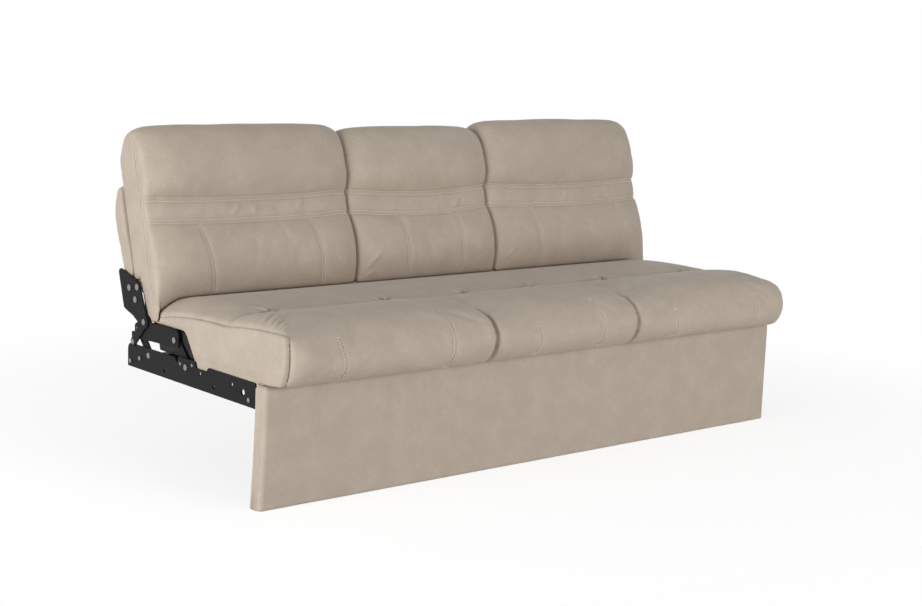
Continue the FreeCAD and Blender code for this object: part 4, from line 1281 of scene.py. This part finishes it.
def maths(tree, operation, *values, clamp=False):
    made = node(tree, "ShaderNodeMath", operation=operation, use_clamp=clamp)
    for value, socket in zip(values, made.inputs):
        feed(tree, value, socket)
    return made.outputs[0]


def blended(tree, factor, first, second):
    """Colour that goes from the first to the second with the factor."""
    made = node(tree, "ShaderNodeMix", data_type="RGBA")
    for label, value in (("Factor", factor), ("A", first), ("B", second)):
        feed(tree, value, made.inputs[label])
    return made.outputs["Result"]


print("node helpers are ready for Blender", bpy.app.version_string)

# %% [markdown]
# A node group has named sockets, so that each material can place the same effect with its own
# values. The textures inside are laid out in the piece's own space, which needs no unwrapping and
# moves with the piece when the sofa folds.

# %% Groups and textures
def new_group(name, takes, gives):
    """Node group with named inputs, each with its usual value, and named outputs."""
    group = bpy.data.node_groups.new(name, "ShaderNodeTree")
    for label, value in takes.items():
        kind = "NodeSocketColor" if isinstance(value, tuple) else "NodeSocketFloat"
        group.interface.new_socket(name=label, in_out="INPUT", socket_type=kind).default_value = value
    for label in gives:
        kind = "NodeSocketColor" if label == "Colour" else "NodeSocketFloat"
        group.interface.new_socket(name=label, in_out="OUTPUT", socket_type=kind)
    return group, group.nodes.new("NodeGroupInput").outputs, group.nodes.new("NodeGroupOutput").inputs


def noise(tree, place, kind="Noise", **settings):
    """A texture laid out by a place in space."""
    made = node(tree, "ShaderNodeTex" + kind, **settings)
    tree.links.new(place, made.inputs["Vector"])
    return made


def object_place(tree):
    return node(tree, "ShaderNodeTexCoord").outputs["Object"]


groups = {}
print("made: new_group, noise and object_place")

# %% [markdown]
# ## Cover grain
# The cover is a coated cloth with a leather grain: cloudy tone, small flecks, a fine pebble and
# soft creases. A scanned picture would show its seams on so large a piece, so the grain is made
# from noise in space. The pebble and creases go out as a height for bump, since they are finer
# than any mesh. Foam and nylon use the same group with other colours and sizes.

# %% Cover grain
def grain_group():
    group, takes, gives = new_group("cover_grain", {
        "Tone": (0.47, 0.4, 0.335, 1.0), "Shade": (0.38, 0.32, 0.262, 1.0),
        "Fleck": (0.58, 0.51, 0.44, 1.0), "Pebble Scale": 620.0, "Cloud Scale": 16.0},
        ("Colour", "Roughness", "Height"))
    place = object_place(group)
    cloud = noise(group, place, Detail=6.0, Roughness=0.62)
    fleck = noise(group, place, Scale=210.0, Detail=3.0)
    rubbed = noise(group, place, Scale=75.0, Detail=2.0)
    pebble = noise(group, place, "Voronoi", feature="SMOOTH_F1", Smoothness=0.55)
    crease = noise(group, place, Scale=95.0, Detail=5.0, Roughness=0.7)
    feed(group, takes["Cloud Scale"], cloud.inputs["Scale"])
    feed(group, takes["Pebble Scale"], pebble.inputs["Scale"])
    clouded = ranged(group, cloud.outputs["Fac"], 0.34, 0.66)
    flecked = ranged(group, fleck.outputs["Fac"], 0.35, 0.75, to_high=0.55)
    shaded = maths(group, "MULTIPLY", maths(group, "ADD", clouded, flecked, clamp=True), 0.55)
    tint = blended(group, shaded, takes["Tone"], takes["Shade"])
    pale = ranged(group, rubbed.outputs["Fac"], 0.58, 0.74, to_high=0.24)
    feed(group, blended(group, pale, tint, takes["Fleck"]), gives["Colour"])
    feed(group, ranged(group, cloud.outputs["Fac"], to_low=0.50, to_high=0.68), gives["Roughness"])
    height = maths(group, "MULTIPLY_ADD", pebble.outputs["Distance"], 0.6, crease.outputs["Fac"])
    feed(group, height, gives["Height"])
    return group


groups["grain"] = grain_group()
print("group:", groups["grain"].name, len(groups["grain"].nodes), "nodes")

# %% [markdown]
# ## Edge wear
# Powder coat and zinc wear first on edges. Comparing the true normal with a bevelled one finds the
# edges without painting a mask by hand. A noise breaks them up, and another gives faint scuffs.

# %% Edge wear
def wear_group():
    group, takes, gives = new_group("edge_wear", {"Radius": 0.0015}, ("Edge", "Scuff"))
    place = object_place(group)
    bevel = node(group, "ShaderNodeBevel", samples=4)
    feed(group, takes["Radius"], bevel.inputs["Radius"])
    match = node(group, "ShaderNodeVectorMath", operation="DOT_PRODUCT")
    feed(group, node(group, "ShaderNodeNewGeometry").outputs["Normal"], match.inputs[0])
    feed(group, bevel.outputs["Normal"], match.inputs[1])
    broken = noise(group, place, Scale=180.0, Detail=4.0)
    edge = ranged(group, match.outputs["Value"], 0.97, 0.80)
    chipped = ranged(group, broken.outputs["Fac"], 0.45, 0.7)
    feed(group, maths(group, "MULTIPLY", edge, chipped, clamp=True), gives["Edge"])
    scuff = noise(group, place, Scale=42.0, Detail=8.0, Roughness=0.75)
    feed(group, scuff.outputs["Fac"], gives["Scuff"])
    return group


groups["wear"] = wear_group()
print("group:", groups["wear"].name, len(groups["wear"].nodes), "nodes")

# %% [markdown]
# ## Timber grain
# Softwood and plywood show long fibres and broad darker rings. Noise that is stretched along the
# board gives both, and needs no unwrapping.

# %% Timber grain
ALONG_BOARD = (1.5, 26.0, 26.0)


def timber_group():
    group, takes, gives = new_group("timber_grain", {
        "Tone": (0.68, 0.52, 0.34, 1.0), "Shade": (0.42, 0.28, 0.15, 1.0)},
        ("Colour", "Roughness", "Height"))
    stretch = node(group, "ShaderNodeMapping", Scale=ALONG_BOARD)
    feed(group, object_place(group), stretch.inputs["Vector"])
    place = stretch.outputs["Vector"]
    rings = noise(group, place, Scale=2.4, Detail=7.0, Roughness=0.6, Distortion=0.6)
    fibre = noise(group, place, Scale=24.0, Detail=3.0)
    ringed = ranged(group, rings.outputs["Fac"], 0.4, 0.68)
    feed(group, blended(group, ringed, takes["Tone"], takes["Shade"]), gives["Colour"])
    feed(group, ranged(group, fibre.outputs["Fac"], to_low=0.6, to_high=0.8), gives["Roughness"])
    feed(group, fibre.outputs["Fac"], gives["Height"])
    return group


groups["timber"] = timber_group()
print("group:", groups["timber"].name, len(groups["timber"].nodes), "nodes")

# %% [markdown]
# ## Plain weave
# Dust cloth, webbing and thread are woven. Three sets of waves across one another read as threads
# that go over and under, on a face in any direction.

# %% Plain weave
def weave_group():
    group, takes, gives = new_group("plain_weave", {
        "Tone": (0.03, 0.03, 0.03, 1.0), "Shade": (0.012, 0.012, 0.012, 1.0), "Threads": 90.0},
        ("Colour", "Height"))
    place = object_place(group)
    waves = []
    for axis in ("X", "Y", "Z"):
        wave = noise(group, place, "Wave", bands_direction=axis, Distortion=0.4)
        feed(group, takes["Threads"], wave.inputs["Scale"])
        waves.append(wave.outputs["Fac"])
    over = maths(group, "MAXIMUM", waves[0], waves[1])
    feed(group, blended(group, over, takes["Shade"], takes["Tone"]), gives["Colour"])
    feed(group, maths(group, "MULTIPLY_ADD", waves[2], 0.3, over), gives["Height"])
    return group


groups["weave"] = weave_group()
print("group:", groups["weave"].name, len(groups["weave"].nodes), "nodes")

# %% [markdown]
# ## Materials
# Each material is one Principled shader with a group in front of it. What is the same all over,
# such as gloss level and sheen, is set on the shader itself, and only what changes over the surface
# comes from the group.

# %% Material helpers
def new_material(name, **settings):
    """A material with its tree and shader; Base_Color and the like stand for the shader's inputs."""
    material = bpy.data.materials.new(name)
    material.use_nodes = True
    shader = material.node_tree.nodes["Principled BSDF"]
    for key, value in settings.items():
        shader.inputs[key.replace("_", " ")].default_value = value
    return material, material.node_tree, shader


def place_group(tree, key, **values):
    """Places a group with its own values, and hands over what it gives."""
    made = node(tree, "ShaderNodeGroup", node_tree=groups[key])
    for label, value in values.items():
        made.inputs[label.replace("_", " ")].default_value = value
    return made.outputs


def bumped(tree, shader, height, strength, distance):
    """Lets a height show as bump."""
    bump = node(tree, "ShaderNodeBump", Strength=strength, Distance=distance)
    feed(tree, height, bump.inputs["Height"])
    feed(tree, bump.outputs["Normal"], shader.inputs["Normal"])


print("made: new_material, place_group and bumped")

# %% [markdown]
# Cover and woven cloth are dull, with a little sheen on the coated cover where it is seen at a low
# angle. Their grain is a bump, because it is finer than the mesh.

# %% Cover and woven cloth
COVER_BUMP, WEAVE_BUMP = 0.0006, 0.0005


def cover_material(name, tone, shade, fleck, pebble, strength):
    material, tree, shader = new_material(
        name, Specular_IOR_Level=0.35, Sheen_Weight=0.10, Sheen_Roughness=0.5)
    grain = place_group(tree, "grain", Tone=tone, Shade=shade, Fleck=fleck, Pebble_Scale=pebble)
    feed(tree, grain["Colour"], shader.inputs["Base Color"])
    feed(tree, grain["Roughness"], shader.inputs["Roughness"])
    bumped(tree, shader, grain["Height"], strength, COVER_BUMP)
    return material


def weave_material(name, tone, shade, threads):
    material, tree, shader = new_material(name, Roughness=0.9, Specular_IOR_Level=0.2)
    weave = place_group(tree, "weave", Tone=tone, Shade=shade, Threads=threads)
    feed(tree, weave["Colour"], shader.inputs["Base Color"])
    bumped(tree, shader, weave["Height"], 0.4, WEAVE_BUMP)
    return material


print("made: cover_material and weave_material")

# %% [markdown]
# Steel is either zinc plated, which is a metal to the light, or powder coated, which is a dull
# black paint. Both show their bare tone on worn edges. Timber stays unpainted and rough.

# %% Steel and timber
STEEL_BUMP, TIMBER_BUMP = 0.0003, 0.0005


def steel_material(name, tone, bare, metallic, gloss, rough, scratch):
    material, tree, shader = new_material(name, Metallic=metallic, Specular_IOR_Level=gloss)
    wear = place_group(tree, "wear")
    feed(tree, blended(tree, wear["Edge"], tone, bare), shader.inputs["Base Color"])
    feed(tree, ranged(tree, wear["Scuff"], to_low=rough[0], to_high=rough[1]), shader.inputs["Roughness"])
    bumped(tree, shader, wear["Scuff"], scratch, STEEL_BUMP)
    return material


def timber_material(name, tone, shade):
    material, tree, shader = new_material(name, Specular_IOR_Level=0.3)
    grain = place_group(tree, "timber", Tone=tone, Shade=shade)
    feed(tree, grain["Colour"], shader.inputs["Base Color"])
    feed(tree, grain["Roughness"], shader.inputs["Roughness"])
    bumped(tree, shader, grain["Height"], 0.3, TIMBER_BUMP)
    return material


print("made: steel_material and timber_material")

# %% [markdown]
# Every slot that the part names gets a finish. The strips along the seams use a darker copy of the
# cover, which is painted shade for the shadow in the seams, and the thread is lighter.

# %% A finish for each slot
def grey(value):
    return (value, value, value, 1)


cover = cover_material("beige_cover", (0.495, 0.417, 0.340, 1), (0.395, 0.328, 0.260, 1),
                       (0.59, 0.515, 0.43, 1), 620.0, 0.30)
# Darker copy of the cover: painted shade for the strips along the seams.
shade_finish = cover_material("painted_seam_shade", (0.20, 0.162, 0.128, 1), (0.15, 0.120, 0.094, 1),
                               (0.25, 0.21, 0.17, 1), 620.0, 0.2)
thread_finish = weave_material("thread", (0.90, 0.83, 0.73, 1), (0.80, 0.72, 0.62, 1), 700.0)
finishes = {
    "upholstery": cover,
    "foam": cover_material("bare_foam", (0.86, 0.80, 0.62, 1), (0.76, 0.69, 0.50, 1),
                           (0.90, 0.86, 0.70, 1), 340.0, 0.5),
    "plywood": timber_material("plywood", (0.68, 0.52, 0.34, 1), (0.50, 0.35, 0.20, 1)),
    "timber": timber_material("softwood", (0.66, 0.49, 0.31, 1), (0.46, 0.31, 0.17, 1)),
    "black_cloth": weave_material("black_cloth", (0.035, 0.035, 0.036, 1), grey(0.012), 90.0),
    "nylon": cover_material("black_nylon", (0.045, 0.045, 0.046, 1), grey(0.03), grey(0.06), 900.0, 0.1),
    "plated_steel": steel_material("zinc_plate", (0.26, 0.26, 0.258, 1), (0.40, 0.40, 0.395, 1),
                                   1.0, 0.5, (0.26, 0.50), 0.08),
    "black_steel": steel_material("black_powder_coat", (0.008, 0.008, 0.0085, 1), grey(0.03),
                                  0.0, 0.11, (0.42, 0.62), 0.12)}
print("finishes:", sorted(finishes))

# %% [markdown]
# ## Dressing the pieces
# The hard pieces come with the frame and only need their slot's finish. A soft solid gets one too,
# but the new skin that stands for it takes its place.

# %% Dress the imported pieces
def dress(piece, material):
    piece.data.materials.clear()
    piece.data.materials.append(material)


slot_of = {row["node"]: row["material_slot"] for row in frame["record"]["subparts"]}
for name, piece in nodes.items():
    dress(piece, finishes[slot_of[name]])
print("dressed", len(nodes), "packed pieces")

# %% [markdown]
# Each new piece rides a body, so that it moves with the folding, and gets a finish. The solids
# that it stands for are hidden.

# %% Dress the new pieces
def settle(piece, body, material, stands_for=()):
    """Gives a new piece its body and finish, and hides the solids it stands for."""
    dress(piece, material)
    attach(piece, body)
    if stands_for:
        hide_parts(*stands_for)


SIDES_OF_SOFA = ("left", "centre", "right")
for side, (piece, thread, shade_parts) in zip(SIDES_OF_SOFA, back_skins):
    settle(piece, "back", cover, ["back_cushion_" + side])
    settle(thread, "back", thread_finish)
    settle(shade_parts, "back", shade_finish)
settle(seat_skin, "seat", cover, ["seat_pad_" + side for side in SIDES_OF_SOFA])
settle(seat_sewing[0], "seat", thread_finish)
settle(seat_sewing[1], "seat", shade_finish)
for side, piece in side_skins.items():
    settle(piece, "seat", cover, ["seat_border_" + side])
settle(rear_skin, "back", cover, ["back_rear_pad"])
settle(kick_skin, "base", cover, ["kickboard_cover"])
for (piece, area, flat), held in zip(dust_cloths, ("stretched", "hung", "hung")):
    settle(piece, "seat", finishes["black_cloth"], ["seat_dust_cover"])
webbing_slot = slot_of["back_webbing"]
for piece in back_straps:
    settle(piece, "back", finishes[webbing_slot], ["back_webbing"])

# %% [markdown]
# ## Floor
# The photograph's ground is plain white with a faint shadow. The floor is pale and half see-through
# near the sofa, where it takes the shadow, and thins out into the white of the world beyond. Rays
# that show the background see it brighter, and the light on the sofa stays as it is.

# %% Floor
FLOOR_REACH, FLOOR_Z = 4.0, -0.0005
FLOOR_CORNERS = ((-1, -1), (1, -1), (1, 1), (-1, 1))
FADE_FROM, FADE_TO = 0.9, 2.2
FLOOR_COVER, FLOOR_GLOW = 0.35, 0.38
WHITE = grey(1)


def seen_straight(tree):
    """1 for the rays that show the background: straight to the camera, mirrored or through glass."""
    path = node(tree, "ShaderNodeLightPath").outputs
    mirrored = maths(tree, "MAXIMUM", path["Is Glossy Ray"], path["Is Transmission Ray"])
    return maths(tree, "MAXIMUM", path["Is Camera Ray"], mirrored)


def floor():
    corners = [(x * FLOOR_REACH, y * FLOOR_REACH, FLOOR_Z) for x, y in FLOOR_CORNERS]
    piece = mesh_object("floor", corners, [(0, 1, 2, 3)])
    material, tree, shader = new_material(
        "pale_floor", Base_Color=grey(0.93), Roughness=0.9, Emission_Color=WHITE)
    away = node(tree, "ShaderNodeVectorMath", operation="LENGTH")
    feed(tree, object_place(tree), away.inputs[0])
    thinned = ranged(tree, away.outputs["Value"], FADE_FROM, FADE_TO, FLOOR_COVER, 0.0)
    thinned.node.interpolation_type = "SMOOTHSTEP"
    feed(tree, thinned, shader.inputs["Alpha"])
    glow = maths(tree, "MULTIPLY", seen_straight(tree), FLOOR_GLOW)
    feed(tree, glow, shader.inputs["Emission Strength"])
    dress(piece, material)


floor()
print("floor reaches", FLOOR_REACH, "m")

# %% [markdown]
# ## World and lights
# A wide soft key from the left, a broad fill from the front and a little light from above give the
# plain studio look. The world adds a soft glow all round, and shows itself as white.

# %% World and lights
WORLD_LIGHT = 0.27
LIGHT_AIM = Vector((0, 0, 0.4))
LIGHTS = (("key", (-4.6, -0.35, 0.95), 2.6, 151.0), ("fill", (0.65, -5.1, 0.8), 3.6, 144.0),
          ("top", (0.4, -0.6, 4.0), 3.0, 7.5))


def studio_world():
    world = bpy.data.worlds.new("studio")
    bpy.context.scene.world = world
    world.use_nodes = True
    tree = world.node_tree
    tree.nodes.clear()
    soft = node(tree, "ShaderNodeBackground", Color=WHITE, Strength=WORLD_LIGHT)
    plain = node(tree, "ShaderNodeBackground", Color=WHITE, Strength=1.0)
    pick = node(tree, "ShaderNodeMixShader")
    for value, socket in zip((seen_straight(tree), soft.outputs[0], plain.outputs[0]), pick.inputs):
        feed(tree, value, socket)
    feed(tree, pick.outputs[0], node(tree, "ShaderNodeOutputWorld").inputs["Surface"])


def soft_light(name, place, size, power):
    lamp = bpy.data.lights.new(name, "AREA")
    lamp.shape = "DISK"
    lamp.size = size
    lamp.energy = power
    holder = bpy.data.objects.new(name, lamp)
    holder.location = place
    holder.rotation_euler = (LIGHT_AIM - Vector(place)).to_track_quat("-Z", "Y").to_euler()
    bpy.context.scene.collection.objects.link(holder)


studio_world()
for row in LIGHTS:
    soft_light(*row)
print("lights:", [row[0] for row in LIGHTS])

# %% [markdown]
# ## Camera
# The camera stands where the photographer stood: low, in front of the left end. Its place and its
# three angles were fitted to corners of the sofa in the photograph, with a focal length in pixels
# that becomes millimetres on Blender's sensor.

# %% Camera
PHOTO_WIDTH = 922
FOCAL_PIXELS = 1654.0
YAW, PITCH, ROLL = math.radians(40.35), math.radians(9.16), math.radians(1.96)
eye = Vector((-2.8595, -3.3162, 1.0678))
ahead = Vector((math.sin(YAW) * math.cos(PITCH), math.cos(YAW) * math.cos(PITCH), -math.sin(PITCH)))
right = Vector((math.cos(YAW), -math.sin(YAW), 0))
up = right.cross(ahead)
tilted_right = right * math.cos(ROLL) + up * math.sin(ROLL)
tilted_up = up * math.cos(ROLL) - right * math.sin(ROLL)
lens = bpy.data.cameras.new("camera")
lens.sensor_fit = "HORIZONTAL"
lens.sensor_width = 36.0
lens.lens = lens.sensor_width * FOCAL_PIXELS / PHOTO_WIDTH
camera = bpy.data.objects.new("camera", lens)
camera.matrix_world = Matrix((
    (tilted_right.x, tilted_up.x, -ahead.x, eye.x),
    (tilted_right.y, tilted_up.y, -ahead.y, eye.y),
    (tilted_right.z, tilted_up.z, -ahead.z, eye.z),
    (0, 0, 0, 1)))
bpy.context.scene.collection.objects.link(camera)
bpy.context.scene.camera = camera
bpy.context.scene.view_settings.view_transform = "Standard"
print("camera", round(lens.lens, 2), "mm at", [round(value, 3) for value in eye])
